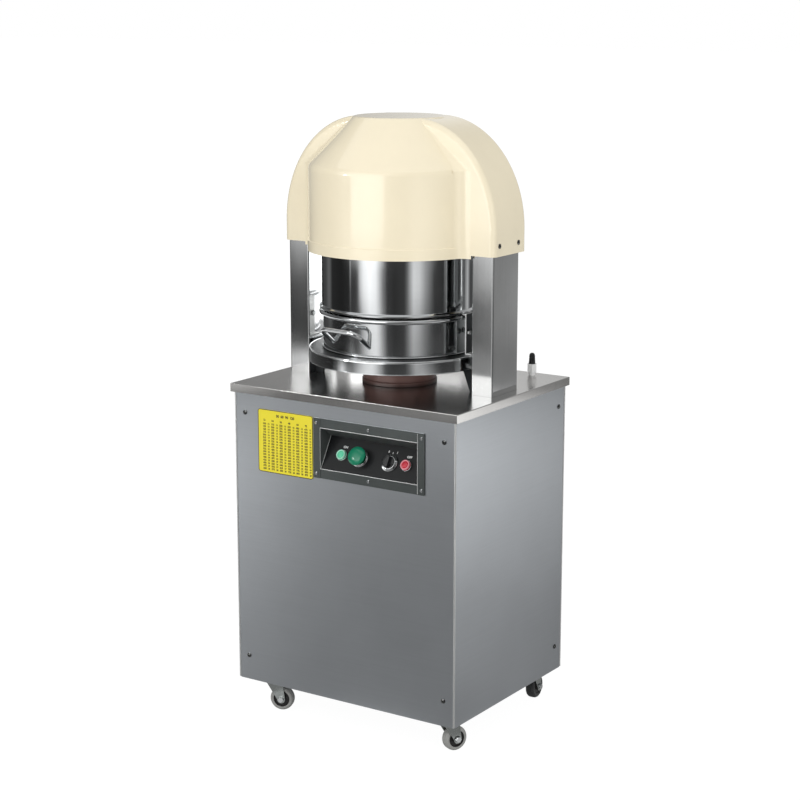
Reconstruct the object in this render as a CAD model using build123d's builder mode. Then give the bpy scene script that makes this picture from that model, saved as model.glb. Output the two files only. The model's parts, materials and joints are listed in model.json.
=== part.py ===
from build123d import *

import os
from math import acos, atan2, cos, pi, radians, sin, sqrt, tan

# Dough divider: a pressing head on two columns over a wheeled cabinet.
# Millimetres. The origin is on the floor under the middle of the cabinet, +Z up, the front faces -Y.

os.makedirs("parts", exist_ok=True)

# Cabinet, frame and table
CABINET_DEPTH = 438.0
CABINET_BOTTOM = 75.0
TABLE_TOP = 724.5
TABLE_SHEET = 2.0
TABLE_SKIRT = 18.0
TABLE_OVERHANG = 7.0
PANEL_SHEET = 1.5
PANEL_RETURN = 14.0
PANEL_BEND = 3.0
PANEL_GROOVE = 3.5
PANEL_DROP = 2.5
FRAME_LEG = 30.0
FRAME_STEEL = 3.0
BEAM_DEPTH = 40.0
BASE_SHEET = 2.0
SCREW_R = 5.0
SCREW_HEAD = 2.6
PANEL_SCREW_INSET = 26.0
PANEL_SCREW_TOP_DROP = 60.0
PANEL_SCREW_BOTTOM_RISE = 54.0
LOUVRE_LENGTH = 150.0
LOUVRE_PITCH = 26.0
LOUVRE_COUNT = 8
LOUVRE_OPENING = 6.0
LOUVRE_RISE = 14.0
LOUVRE_FIRST_RISE = 95.0

# Columns and the guides of the lift rods inside them
COLUMN_GAP = 13.2
COLUMN_WIDTH = 50.0
COLUMN_DEPTH = 100.0
COLUMN_MARGIN = 19.5
COLUMN_WALL = 3.0
COLUMN_EDGE = 3.0
COLUMN_LEAD = 5.0
COLUMN_FIT = 0.4
ROD_INSET = 15.5
ROD_R = 9.0
GUIDE_HEIGHT = 24.0
GUIDE_FIT = 0.1
RUNNING_FIT = 0.06

# Pan, its seat and its keepers, all about the axis of the pressing head
HEAD_Y = -6.0
SEAT_RISE = 75.5
SEAT_EDGE = 2.8
SEAT_SHEET = 2.5
SEAT_SKIRT = 28.0
SEAT_ROLL = 5.0
PEDESTAL_R = 76.0
PEDESTAL_FOOT_R = 79.0
PEDESTAL_FOOT = 9.0
PEDESTAL_SCREW_RISE = 34.0
PEDESTAL_SCREW_TURN = -29.0
PAN_GAP = 0.3
PAN_R = 160.3
PAN_SHEET = 2.5
PAN_FLOOR = 3.0
PAN_HEIGHT = 80.5
PAN_BEAD_R = 5.0
PAN_BEAD_REACH = 8.4
BOARD_THICK = 8.0
BOARD_FIT = 1.0
HANDLE_ROD_R = 4.8
HANDLE_SPAN = 98.0
HANDLE_REACH = 33.0
HANDLE_FOOT_RISE = 24.0
HANDLE_CLIMB = 31.0
HANDLE_CORNER = 20.0
HANDLE_TURN = -7.0
KEEPER_SHEET = 3.0
KEEPER_LENGTH = 34.0
KEEPER_SIDE_GAP = 2.8
KEEPER_LIP = 4.2
KEEPER_GAP = 0.6
KEEPER_FOOT = 13.0
KEEPER_BOLT_RISE = 46.0
KEEPER_BOLT_SPACING = 18.0
KEEPER_BOLT_R = 6.0
KEEPER_BOLT_HEAD = 4.5
GUSSET_SHEET = 6.0
GUSSET_FOOT = 18.0
GUSSET_REACH = 36.0
GUSSET_SETBACK = 14.0

# Drum around the pressing head
DRUM_STEP = 2.7
DRUM_SHEET = 2.5
DRUM_FLANGE_REACH = 5.0
DRUM_FLANGE = 3.0
DRUM_GAP = 0.6
DRUM_HEIGHT = 160.0
DRUM_BRACKET_WIDTH = 30.0
DRUM_BRACKET_HEIGHT = 26.0

# Drive by racks, pinions and a pair of spur gears
PRESSURE_ANGLE = radians(20.0)
GEAR_BACKLASH = 0.4
RACK_MODULE = 3.0
RACK_PINION_TEETH = 18
RACK_STROKE_TEETH = 8
RACK_WIDTH = 22.0
RACK_BACK = 12.0
RACK_PITCH_Y = 9.0
RACK_LENGTH = 150.0
RACK_LEAD = 110.0
RACK_PINION_WIDTH = 26.0
SHAFT_R = 12.0
SHAFT_END = 15.0
SHAFT_RISE = 85.0
DRIVE_PLATE_DROP = 317.5
DRIVE_PLATE = 10.0
DRIVE_PLATE_DEPTH = 300.0
SLOT_FIT = 4.0
STAND_STEP = 39.0
STAND_WIDTH = 24.0
STAND_WALL = 5.0
BEARING_R = 21.0
GEAR_MODULE = 2.5
BULL_TEETH = 54
DRIVE_TEETH = 18
GEAR_WIDTH = 20.0
GEAR_X = 70.0
MOTOR_DROP = 20.0
MOTOR_R = 52.0
MOTOR_LENGTH = 120.0
MOTOR_FIN_COUNT = 24
MOTOR_FIN = 4.0
FAN_COVER_LENGTH = 28.0
GEARBOX_LENGTH = 80.0
GEARBOX_DEPTH = 106.0
GEARBOX_GAP = 15.0
GEARBOX_EDGE = 8.0
OUTPUT_SHAFT_R = 10.0
OUTPUT_SHAFT_GRIP = 30.0
TERMINAL_BOX = (56.0, 48.0, 34.0)
ELECTRICAL_BOX = (180.0, 70.0, 120.0)
ELECTRICAL_BOX_RISE = 115.0
SWITCH_BODY = (18.0, 26.0, 40.0)
SWITCH_ROLLER_R = 4.0
SWITCH_GAP = 1.0
SWITCH_STRIP = 3.0

# Pressing head
KNIFE_GAP = 1.2
KNIFE_CLEARANCE = 7.8
KNIFE_BLADE = 2.0
KNIFE_HEIGHT = 60.0
KNIFE_HUB_R = 9.0
CELL_COUNT = (6, 12, 18)
CARRIER = 12.0
PAD_THICK = 14.0
PAD_SET_BACK = 2.0
PAD_FIT = 1.0
STEM_R = 4.0
STEM_FIT = 0.4
SPIDER = 8.0
SPIDER_STEP = 10.0
SPIDER_GAP = 0.3
POST_R = 8.0
POST_COUNT = 6
POST_LENGTH = 80.0
POST_FIT = 0.5
SPRING_R = 15.0
SPRING_WIRE = 3.0
HEAD_PLATE = 12.0
RAM_R = 40.0
RAM_WALL = 8.0
CROSSHEAD = 24.0
CROSSHEAD_DEPTH = 56.0
CROSSHEAD_BOSS_R = 56.0
CROSSHEAD_GAP = 8.0
CROSSHEAD_END = 15.0
CROSSHEAD_RELIEF = 3.0
NUT_R = 15.0
NUT_HEIGHT = 11.0

# Hood
HOOD_LAP = 40.0
HOOD_RIM_DROP = 6.5
HOOD_WALL = 3.5
HOOD_SIDE_GAP = 2.5
HOOD_FRONT_GAP = 4.5
HOOD_REAR_GAP = 16.5
HOOD_BAND_SIDE = 45.0
HOOD_FLAT_HALF = 65.0
HOOD_EDGE = 12.0
BULGE_GAP = 22.5
BULGE_SIDE = 174.5
BULGE_CONE = 100.5
BULGE_SHOULDER_ROUND = 22.0
BULGE_TOP_R = 94.0
BULGE_TOP_ROUND = 9.0
BULGE_LIP = 2.0
BULGE_LIP_HEIGHT = 23.5
BULGE_WEB_R = 33.0
BULGE_WEB_END_R = 6.0
BULGE_WEB_LAP = 1.5
BULGE_WEB_DROP = 16.5
HOOD_SCREW_RISE = 21.0
HOOD_SCREW_SPACING = 74.0
HOOD_SPACER_R = 8.0

# Control recess and its controls
CONTROL_X = 67.0
CONTROL_DROP = 111.5
BEZEL_SIDE = 16.0
BEZEL_END = 20.0
BEZEL_SHEET = 2.0
BEZEL_STRIP = 0.8
BEZEL_EDGE = 3.0
BEZEL_SCREW_SIDE_INSET = 6.5
BEZEL_SCREW_END_INSET = 10.0
BEZEL_SCREW_R = 3.2
BEZEL_SCREW_HEAD = 2.0
POCKET_WIDTH = 238.0
POCKET_HEIGHT = 86.0
POCKET_SHEET = 1.5
POCKET_TILT = radians(31.0)
POCKET_FIT = 0.5
CONTROL_PLATE = 2.0
PLATE_FIT = 0.2
CONTROL_ROW = 35.0
START_X = -31.0
SELECTOR_X = 41.0
GREEN_LAMP_STEP = 45.0
RED_LAMP_STEP = 40.0
LAMP_R = 10.5
LAMP_HEIGHT = 9.0
LAMP_DOME = 4.0
LAMP_COLLAR_R = 12.0
LAMP_COLLAR = 3.0
START_R = 20.0
START_STEM_R = 9.0
START_STEM = 14.5
START_HEAD = 10.0
START_TRAVEL = 6.0
START_COLLAR_R = 19.5
START_COLLAR = 6.0
SELECTOR_COLLAR_R = 18.5
SELECTOR_COLLAR = 6.0
SELECTOR_R = 13.0
SELECTOR_BASE = 8.0
SELECTOR_GRIP = (8.0, 24.0, 15.0)
CONTROL_FIT = 0.3
CONTACT_BLOCK = (30.0, 28.0, 34.0)
CHART_WIDTH = 141.0
CHART_HEIGHT = 134.0
CHART_GAP = 3.5
CHART_DROP = 114.0
CHART_SHEET = 1.0
CHART_CORNER = 6.0

# Cable gland
GLAND_SIDE = 68.6
GLAND_BACK = 22.5
GLAND_NECK_R = 7.0
GLAND_NECK = 7.0
GLAND_NUT_R = 11.0
GLAND_NUT = 18.0
SLEEVE_R = 7.2
SLEEVE_TOP_R = 5.6
SLEEVE_HEIGHT = 23.0
SLEEVE_BORE_R = 3.2

# Casters
CASTER_SIDE = 51.0
CASTER_BACK = 44.0
CASTER_TRAIL = 25.0
WHEEL_R = 26.0
WHEEL_WIDTH = 20.5
TYRE_EDGE = 4.0
HUB_R = 16.0
HUB_WIDTH = 21.5
AXLE_R = 4.0
AXLE_HEAD_R = 7.0
AXLE_HEAD = 4.0
FORK_SHEET = 2.5
FORK_GAP = 22.5
FORK_CROWN_R = 17.0
FORK_CROWN = 3.5
FORK_EYE_R = 9.0
FORK_REAR = 29.0
CASTER_PLATE = 3.0
CASTER_PLATE_SIZE = (62.0, 54.0)
CASTER_RACE_R = 19.0
CASTER_RACE = 2.3
KINGPIN_R = 5.0
KINGPIN_HEAD_R = 8.0
KINGPIN_HEAD = 3.0
SWIVEL_GAP = 0.3
CASTER_BOLT_R = 5.0
CASTER_BOLT_HEAD = 3.5
CASTER_BOLT_INSET = 8.0
CASTER_HEADINGS = {
    "front_left": (-1, -1, 20.0),
    "front_right": (1, -1, 65.0),
    "rear_left": (-1, 1, 40.0),
    "rear_right": (1, 1, 95.0),
}

# Places worked out from the sizes above, from the pan outwards and from the table upwards
PAN_BORE_R = PAN_R - PAN_SHEET
PAN_OUTER_R = PAN_R + PAN_BEAD_REACH
KEEPER_X = PAN_OUTER_R + KEEPER_SIDE_GAP
SEAT_R = KEEPER_X + KEEPER_SHEET + KEEPER_FOOT + SEAT_EDGE
COLUMN_IN = SEAT_R + COLUMN_GAP
COLUMN_X = COLUMN_IN + COLUMN_WIDTH / 2
COLUMN_OUT = COLUMN_IN + COLUMN_WIDTH
ROD_X = COLUMN_IN + ROD_INSET
DRUM_R = PAN_R + DRUM_STEP
DRUM_FLANGE_R = DRUM_R + DRUM_FLANGE_REACH
KNIFE_R = PAN_BORE_R - KNIFE_CLEARANCE
SPIDER_R = KNIFE_R - SPIDER_STEP

CABINET_HX = COLUMN_OUT + COLUMN_MARGIN
CABINET_HY = CABINET_DEPTH / 2
TABLE_UNDER = TABLE_TOP - TABLE_SHEET
PANEL_TOP = TABLE_UNDER - PANEL_DROP
FRAME_HX = CABINET_HX - 2 * PANEL_SHEET
FRAME_HY = CABINET_HY - PANEL_SHEET
FRAME_BOTTOM = CABINET_BOTTOM + BASE_SHEET
DRIVE_PLATE_TOP = TABLE_UNDER - DRIVE_PLATE_DROP
CASTER_X = CABINET_HX - CASTER_SIDE
CASTER_Y = CABINET_HY - CASTER_BACK
GLAND_X = CABINET_HX - GLAND_SIDE
GLAND_Y = CABINET_HY - GLAND_BACK

SEAT_TOP = TABLE_TOP + SEAT_RISE
SEAT_BOTTOM = SEAT_TOP - SEAT_SKIRT
PAN_BOTTOM = SEAT_TOP + PAN_GAP
PAN_TOP = PAN_BOTTOM + PAN_HEIGHT
BOARD_BOTTOM = PAN_BOTTOM + PAN_FLOOR
BOARD_TOP = BOARD_BOTTOM + BOARD_THICK
KEEPER_LIP_BOTTOM = PAN_TOP + KEEPER_GAP
DRUM_BOTTOM = KEEPER_LIP_BOTTOM + KEEPER_SHEET + DRUM_GAP
DRUM_TOP = DRUM_BOTTOM + DRUM_HEIGHT
COLUMN_TOP = DRUM_TOP + COLUMN_LEAD

RACK_PITCH = pi * RACK_MODULE
RACK_PINION_R = RACK_MODULE * RACK_PINION_TEETH / 2
STROKE = RACK_STROKE_TEETH * RACK_PITCH
SHAFT_Y = RACK_PITCH_Y + RACK_PINION_R
SHAFT_Z = DRIVE_PLATE_TOP + SHAFT_RISE
RACK_TOP = SHAFT_Z + RACK_LEAD
RACK_BOTTOM = RACK_TOP - RACK_LENGTH
STAND_X = ROD_X - STAND_STEP
STAND_DEPTH = 2 * (BEARING_R + STAND_WALL)
GEAR_DISTANCE = GEAR_MODULE * (BULL_TEETH + DRIVE_TEETH) / 2
MOTOR_Y = SHAFT_Y - sqrt(GEAR_DISTANCE**2 - MOTOR_DROP**2)
MOTOR_Z = SHAFT_Z - MOTOR_DROP
GEARBOX_RIGHT = GEAR_X - GEAR_WIDTH / 2 - GEARBOX_GAP
GEARBOX_LEFT = GEARBOX_RIGHT - GEARBOX_LENGTH
MOTOR_LEFT = GEARBOX_LEFT - MOTOR_LENGTH

KNIFE_EDGE = BOARD_TOP + KNIFE_GAP + STROKE
CARRIER_BOTTOM = KNIFE_EDGE + KNIFE_HEIGHT
CARRIER_TOP = CARRIER_BOTTOM + CARRIER
PAD_BOTTOM = KNIFE_EDGE + PAD_SET_BACK
PAD_TOP = PAD_BOTTOM + PAD_THICK
SPIDER_BOTTOM = CARRIER_TOP + SPIDER_GAP
SPIDER_TOP = SPIDER_BOTTOM + SPIDER
HEAD_PLATE_BOTTOM = CARRIER_TOP + POST_LENGTH
HEAD_PLATE_TOP = HEAD_PLATE_BOTTOM + HEAD_PLATE
CROSSHEAD_BOTTOM = COLUMN_TOP + STROKE + CROSSHEAD_GAP
CROSSHEAD_TOP = CROSSHEAD_BOTTOM + CROSSHEAD
CROSSHEAD_SEAT = CROSSHEAD_TOP - NUT_HEIGHT
RING_RADII = [KNIFE_R * sqrt(sum(CELL_COUNT[: i + 1]) / sum(CELL_COUNT)) for i in range(len(CELL_COUNT))]
POST_CIRCLE_R = RING_RADII[1]

HOOD_HALF_WIDTH = COLUMN_OUT + HOOD_SIDE_GAP + HOOD_WALL
HOOD_SIDE_INNER = HOOD_HALF_WIDTH - HOOD_WALL
HOOD_FRONT = -COLUMN_DEPTH / 2 - HOOD_FRONT_GAP - HOOD_WALL
HOOD_REAR = COLUMN_DEPTH / 2 + HOOD_REAR_GAP + HOOD_WALL
HOOD_BAND_BOTTOM = COLUMN_TOP - HOOD_LAP
HOOD_RIM = HOOD_BAND_BOTTOM - HOOD_RIM_DROP
HOOD_ARCH_SPRING = HOOD_BAND_BOTTOM + HOOD_BAND_SIDE
BULGE_R = DRUM_R + BULGE_GAP + HOOD_WALL
BULGE_LIP_TOP = HOOD_RIM + BULGE_LIP_HEIGHT
BULGE_SHOULDER = HOOD_RIM + BULGE_SIDE
HOOD_TOP = BULGE_SHOULDER + BULGE_CONE

CONTROL_Z = TABLE_TOP - CONTROL_DROP
BEZEL_WIDTH = POCKET_WIDTH + 2 * BEZEL_SIDE
BEZEL_HEIGHT = POCKET_HEIGHT + 2 * BEZEL_END
BEZEL_FACE = -CABINET_HY - BEZEL_SHEET
POCKET_LOW = CONTROL_Z - POCKET_HEIGHT / 2
POCKET_LEG = POCKET_HEIGHT * cos(POCKET_TILT)
GREEN_LAMP_X = START_X - GREEN_LAMP_STEP
RED_LAMP_X = SELECTOR_X + RED_LAMP_STEP
CHART_X = CONTROL_X - BEZEL_WIDTH / 2 - CHART_GAP - CHART_WIDTH / 2
CHART_Z = TABLE_TOP - CHART_DROP

HEAD_AXIS = Axis((0, HEAD_Y, 0), (0, 0, 1))
HEAD_SECTION = Plane.XZ.offset(-HEAD_Y)


def head_plane(height):
    """Level plane on the axis of the pressing head."""
    return Plane(origin=(0, HEAD_Y, height))


def slab(x, y, z, mode=Mode.ADD):
    """Block between a pair of limits along each axis."""
    with Locations(((x[0] + x[1]) / 2, (y[0] + y[1]) / 2, (z[0] + z[1]) / 2)):
        Box(x[1] - x[0], y[1] - y[0], z[1] - z[0], mode=mode)


def both_sides(near, far):
    """Limits of a thing on the right and its mirror image on the left."""
    return ((near, far), (-far, -near))


def disc(plane, radius, height, mode=Mode.ADD):
    """Round block that stands on a plane."""
    with BuildSketch(plane) as outline:
        Circle(radius)
    extrude(outline.sketch, amount=height, mode=mode)


def heads(plane, points, radius, height):
    """Crowned screw heads that stand on a plane."""
    upward = (Align.CENTER, Align.CENTER, Align.MIN)
    with Locations(plane):
        with Locations(*[(u, v, 0) for u, v in points]):
            Cylinder(radius, height / 2, align=upward)
        with Locations(*[(u, v, height / 2) for u, v in points]):
            Cone(radius, radius * 0.6, height / 2, align=upward)


def hexagon(plane, points, radius, height):
    """Hexagonal heads or nuts that stand on a plane."""
    with BuildSketch(plane) as outline:
        with Locations(*points):
            RegularPolygon(radius, 6)
    extrude(outline.sketch, amount=height)


def keep(piece, name):
    """Label a finished piece and write its file."""
    piece.part.label = name
    export_step(piece.part, f"parts/{name}.step")


def involute(angle):
    return tan(angle) - angle


def half_tooth(radius, pitch_r, teeth):
    """Half the angle that a gear tooth takes up at a radius."""
    lean = acos(min(1.0, pitch_r * cos(PRESSURE_ANGLE) / radius))
    at_pitch = pi / (2 * teeth) - GEAR_BACKLASH / (4 * pitch_r)
    return at_pitch + involute(PRESSURE_ANGLE) - involute(lean)


def gear_outline(teeth, module, first_tooth):
    """Outline of a spur gear, with one tooth centred on the angle first_tooth."""
    pitch_r = module * teeth / 2
    root_r = pitch_r - 1.25 * module
    tip_r = pitch_r + module

    def flank(radius, middle, side):
        angle = middle + side * half_tooth(radius, pitch_r, teeth)
        return (radius * cos(angle), radius * sin(angle))

    with BuildLine() as teeth_line:
        for tooth in range(teeth):
            middle = first_tooth + 2 * pi * tooth / teeth
            following = middle + 2 * pi / teeth
            ThreePointArc(*[flank(r, middle, -1) for r in (root_r, pitch_r, tip_r)])
            Line(flank(tip_r, middle, -1), flank(tip_r, middle, 1))
            ThreePointArc(*[flank(r, middle, 1) for r in (tip_r, pitch_r, root_r)])
            Line(flank(root_r, middle, 1), flank(root_r, following, -1))
    make_face(teeth_line.edges())


# Welded frame of angle steel, with the channels that carry the columns and the pedestal
with BuildPart() as cabinet_frame:
    ring_in_x = FRAME_HX - FRAME_LEG
    ring_in_y = FRAME_HY - FRAME_LEG
    wall_x = FRAME_HX - FRAME_STEEL
    wall_y = FRAME_HY - FRAME_STEEL
    slab((-FRAME_HX, FRAME_HX), (-FRAME_HY, FRAME_HY), (FRAME_BOTTOM, TABLE_UNDER))
    slab(
        (-wall_x, wall_x),
        (-wall_y, wall_y),
        (FRAME_BOTTOM + FRAME_STEEL, TABLE_UNDER - FRAME_STEEL),
        mode=Mode.SUBTRACT,
    )
    slab((-ring_in_x, ring_in_x), (-ring_in_y, ring_in_y), (FRAME_BOTTOM, TABLE_UNDER), mode=Mode.SUBTRACT)
    window_z = (FRAME_BOTTOM + FRAME_LEG, TABLE_UNDER - FRAME_LEG)
    slab((-ring_in_x, ring_in_x), (-FRAME_HY, FRAME_HY), window_z, mode=Mode.SUBTRACT)
    slab((-FRAME_HX, FRAME_HX), (-ring_in_y, ring_in_y), window_z, mode=Mode.SUBTRACT)
    shelf_z = (DRIVE_PLATE_TOP - DRIVE_PLATE - FRAME_STEEL, DRIVE_PLATE_TOP - DRIVE_PLATE)
    for x in both_sides(ring_in_x, FRAME_HX):
        slab(x, (-FRAME_HY + FRAME_STEEL, FRAME_HY - FRAME_STEEL), shelf_z)
    beam_bottom = TABLE_UNDER - BEAM_DEPTH
    for x in both_sides(COLUMN_IN, COLUMN_OUT):
        slab(x, (-wall_y, wall_y), (beam_bottom, TABLE_UNDER))
    for x in both_sides(COLUMN_IN + FRAME_STEEL, COLUMN_OUT - FRAME_STEEL):
        slab(x, (-wall_y, wall_y), (beam_bottom, TABLE_UNDER - FRAME_STEEL), mode=Mode.SUBTRACT)
    pedestal_y = (HEAD_Y - PEDESTAL_FOOT_R, HEAD_Y + PEDESTAL_FOOT_R)
    slab((-COLUMN_IN, COLUMN_IN), pedestal_y, (TABLE_UNDER - 2 * FRAME_STEEL, TABLE_UNDER))
    with BuildSketch(Plane.XY.offset(TABLE_UNDER)):
        with Locations((-ROD_X, 0), (ROD_X, 0)):
            Circle(ROD_R + SLOT_FIT)
    extrude(amount=-BEAM_DEPTH, mode=Mode.SUBTRACT)
keep(cabinet_frame, "cabinet_frame")

with BuildPart() as base_plate:
    slab((-FRAME_HX, FRAME_HX), (-FRAME_HY, FRAME_HY), (CABINET_BOTTOM, FRAME_BOTTOM))
keep(base_plate, "base_plate")


def folded_panel(outside):
    """Sheet with its upright edges folded back around the frame: -1 is the front one, 1 the rear one."""
    half = CABINET_HX - PANEL_SHEET
    face = outside * CABINET_HY
    back = outside * (CABINET_HY - PANEL_RETURN)
    inner = outside * (CABINET_HY - PANEL_SHEET)
    with BuildSketch(Plane.XY.offset(CABINET_BOTTOM)) as section:
        Polygon((-half, face), (half, face), (half, back), (-half, back), align=None)
        corners = section.vertices().group_by(Axis.Y)[0 if outside < 0 else -1]
        fillet(corners, radius=PANEL_BEND)
        tray = half - PANEL_SHEET
        Polygon((-tray, inner), (tray, inner), (tray, back), (-tray, back), align=None, mode=Mode.SUBTRACT)
    extrude(section.sketch, amount=PANEL_TOP - CABINET_BOTTOM)


with BuildPart() as front_panel:
    folded_panel(-1)
    cut_half = POCKET_WIDTH / 2 + POCKET_SHEET + POCKET_FIT
    slab(
        (CONTROL_X - cut_half, CONTROL_X + cut_half),
        (-CABINET_HY, -CABINET_HY + PANEL_SHEET),
        (POCKET_LOW - POCKET_FIT - CONTROL_PLATE, POCKET_LOW + POCKET_HEIGHT + POCKET_SHEET + POCKET_FIT),
        mode=Mode.SUBTRACT,
    )
keep(front_panel, "front_panel")

with BuildPart() as rear_panel:
    folded_panel(1)
    for row in range(LOUVRE_COUNT):
        low = CABINET_BOTTOM + LOUVRE_FIRST_RISE + row * LOUVRE_PITCH
        for middle in (-LOUVRE_LENGTH * 0.6, LOUVRE_LENGTH * 0.6):
            span = (middle - LOUVRE_LENGTH / 2, middle + LOUVRE_LENGTH / 2)
            slab(
                span,
                (CABINET_HY - PANEL_SHEET, CABINET_HY),
                (low, low + LOUVRE_OPENING),
                mode=Mode.SUBTRACT,
            )
            with BuildSketch(Plane.YZ.offset(span[0])):
                with BuildLine():
                    Polyline(
                        (CABINET_HY, low + LOUVRE_RISE),
                        (CABINET_HY + LOUVRE_OPENING, low + PANEL_SHEET),
                        (CABINET_HY + LOUVRE_OPENING, low),
                        (CABINET_HY + LOUVRE_OPENING - PANEL_SHEET, low),
                        (CABINET_HY, low + LOUVRE_RISE - 2 * PANEL_SHEET),
                        close=True,
                    )
                make_face()
            extrude(amount=LOUVRE_LENGTH)
keep(rear_panel, "rear_panel")

for name, side in (("left_panel", -1), ("right_panel", 1)):
    with BuildPart() as side_panel:
        reach = CABINET_HY - PANEL_GROOVE
        x = sorted((side * (CABINET_HX - PANEL_SHEET), side * CABINET_HX))
        slab(x, (-reach, reach), (CABINET_BOTTOM, PANEL_TOP))
    keep(side_panel, name)

with BuildPart() as table_top:
    table_hx = CABINET_HX + TABLE_OVERHANG
    table_hy = CABINET_HY + TABLE_OVERHANG
    skirt_bottom = TABLE_TOP - TABLE_SKIRT
    slab((-table_hx, table_hx), (-table_hy, table_hy), (skirt_bottom, TABLE_TOP))
    slab(
        (TABLE_SHEET - table_hx, table_hx - TABLE_SHEET),
        (TABLE_SHEET - table_hy, table_hy - TABLE_SHEET),
        (skirt_bottom, TABLE_UNDER),
        mode=Mode.SUBTRACT,
    )
    fillet(edges().group_by(Axis.Z)[-1], radius=TABLE_SHEET * 0.7)
    hole_y = COLUMN_DEPTH / 2 + COLUMN_FIT
    for x in both_sides(COLUMN_IN - COLUMN_FIT, COLUMN_OUT + COLUMN_FIT):
        slab(x, (-hole_y, hole_y), (TABLE_UNDER, TABLE_TOP), mode=Mode.SUBTRACT)
    with BuildSketch(Plane.XY.offset(TABLE_UNDER)):
        with Locations((GLAND_X, GLAND_Y)):
            Circle(SLEEVE_BORE_R)
    extrude(amount=TABLE_SHEET, mode=Mode.SUBTRACT)
keep(table_top, "table_top")

with BuildPart() as panel_screws:
    screw_x = CABINET_HX - PANEL_SCREW_INSET
    screw_y = CABINET_HY - PANEL_SCREW_INSET
    levels = (CABINET_BOTTOM + PANEL_SCREW_BOTTOM_RISE, TABLE_TOP - PANEL_SCREW_TOP_DROP)
    for outside in (-1, 1):
        face = Plane(origin=(0, outside * CABINET_HY, 0), x_dir=(-outside, 0, 0), z_dir=(0, outside, 0))
        heads(face, [(x, z) for x in (-screw_x, screw_x) for z in levels], SCREW_R, SCREW_HEAD)
        side = Plane(origin=(outside * CABINET_HX, 0, 0), x_dir=(0, outside, 0), z_dir=(outside, 0, 0))
        heads(side, [(outside * screw_y, z) for z in levels], SCREW_R, SCREW_HEAD)
    side_x = BEZEL_WIDTH / 2 - BEZEL_SCREW_SIDE_INSET
    end_z = BEZEL_HEIGHT / 2 - BEZEL_SCREW_END_INSET
    bezel = Plane(origin=(CONTROL_X, BEZEL_FACE, CONTROL_Z), x_dir=(1, 0, 0), z_dir=(0, -1, 0))
    heads(bezel, [(0, z) for z in (-end_z, end_z)], BEZEL_SCREW_R, BEZEL_SCREW_HEAD)
    strips = [(x, z) for x in (-side_x, side_x) for z in (-end_z, end_z)]
    heads(bezel.offset(BEZEL_STRIP), strips, BEZEL_SCREW_R, BEZEL_SCREW_HEAD)
keep(panel_screws, "panel_screws")

# Columns
for name, side in (("left_column", -1), ("right_column", 1)):
    with BuildPart() as column:
        with BuildSketch(Plane.XY.offset(TABLE_UNDER)):
            with Locations((side * COLUMN_X, 0)):
                RectangleRounded(COLUMN_WIDTH, COLUMN_DEPTH, COLUMN_EDGE)
                Rectangle(COLUMN_WIDTH - 2 * COLUMN_WALL, COLUMN_DEPTH - 2 * COLUMN_WALL, mode=Mode.SUBTRACT)
        extrude(amount=COLUMN_TOP - TABLE_UNDER)
    keep(column, name)

with BuildPart() as rod_guides:
    for bottom in (TABLE_UNDER, COLUMN_TOP - GUIDE_HEIGHT):
        with BuildSketch(Plane.XY.offset(bottom)):
            with Locations((-COLUMN_X, 0), (COLUMN_X, 0)):
                Rectangle(
                    COLUMN_WIDTH - 2 * COLUMN_WALL - 2 * GUIDE_FIT,
                    COLUMN_DEPTH - 2 * COLUMN_WALL - 2 * GUIDE_FIT,
                )
            with Locations((-ROD_X, 0), (ROD_X, 0)):
                Circle(ROD_R + RUNNING_FIT, mode=Mode.SUBTRACT)
        extrude(amount=GUIDE_HEIGHT)
keep(rod_guides, "rod_guides")

# Seat under the pan, and what carries it
with BuildPart() as pan_seat:
    with BuildSketch(HEAD_SECTION) as section:
        with BuildLine():
            Polyline(
                (0, SEAT_TOP),
                (SEAT_R, SEAT_TOP),
                (SEAT_R, SEAT_BOTTOM),
                (SEAT_R - SEAT_SHEET, SEAT_BOTTOM),
            )
            Polyline(
                (SEAT_R - SEAT_SHEET, SEAT_BOTTOM),
                (SEAT_R - SEAT_SHEET, SEAT_TOP - SEAT_SHEET),
                (0, SEAT_TOP - SEAT_SHEET),
                (0, SEAT_TOP),
            )
        make_face()
        corner = section.vertices().group_by(Axis.X)[-1].sort_by(Axis.Y)[-1]
        fillet(corner, radius=SEAT_ROLL)
        inner = section.vertices().sort_by_distance((SEAT_R - SEAT_SHEET, SEAT_TOP - SEAT_SHEET))[0]
        fillet(inner, radius=SEAT_ROLL - SEAT_SHEET)
    revolve(axis=HEAD_AXIS)
keep(pan_seat, "pan_seat")

with BuildPart() as pan_pedestal:
    disc(head_plane(TABLE_TOP), PEDESTAL_FOOT_R, PEDESTAL_FOOT)
    disc(head_plane(TABLE_TOP), PEDESTAL_R, SEAT_TOP - SEAT_SHEET - TABLE_TOP)
keep(pan_pedestal, "pan_pedestal")

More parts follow.
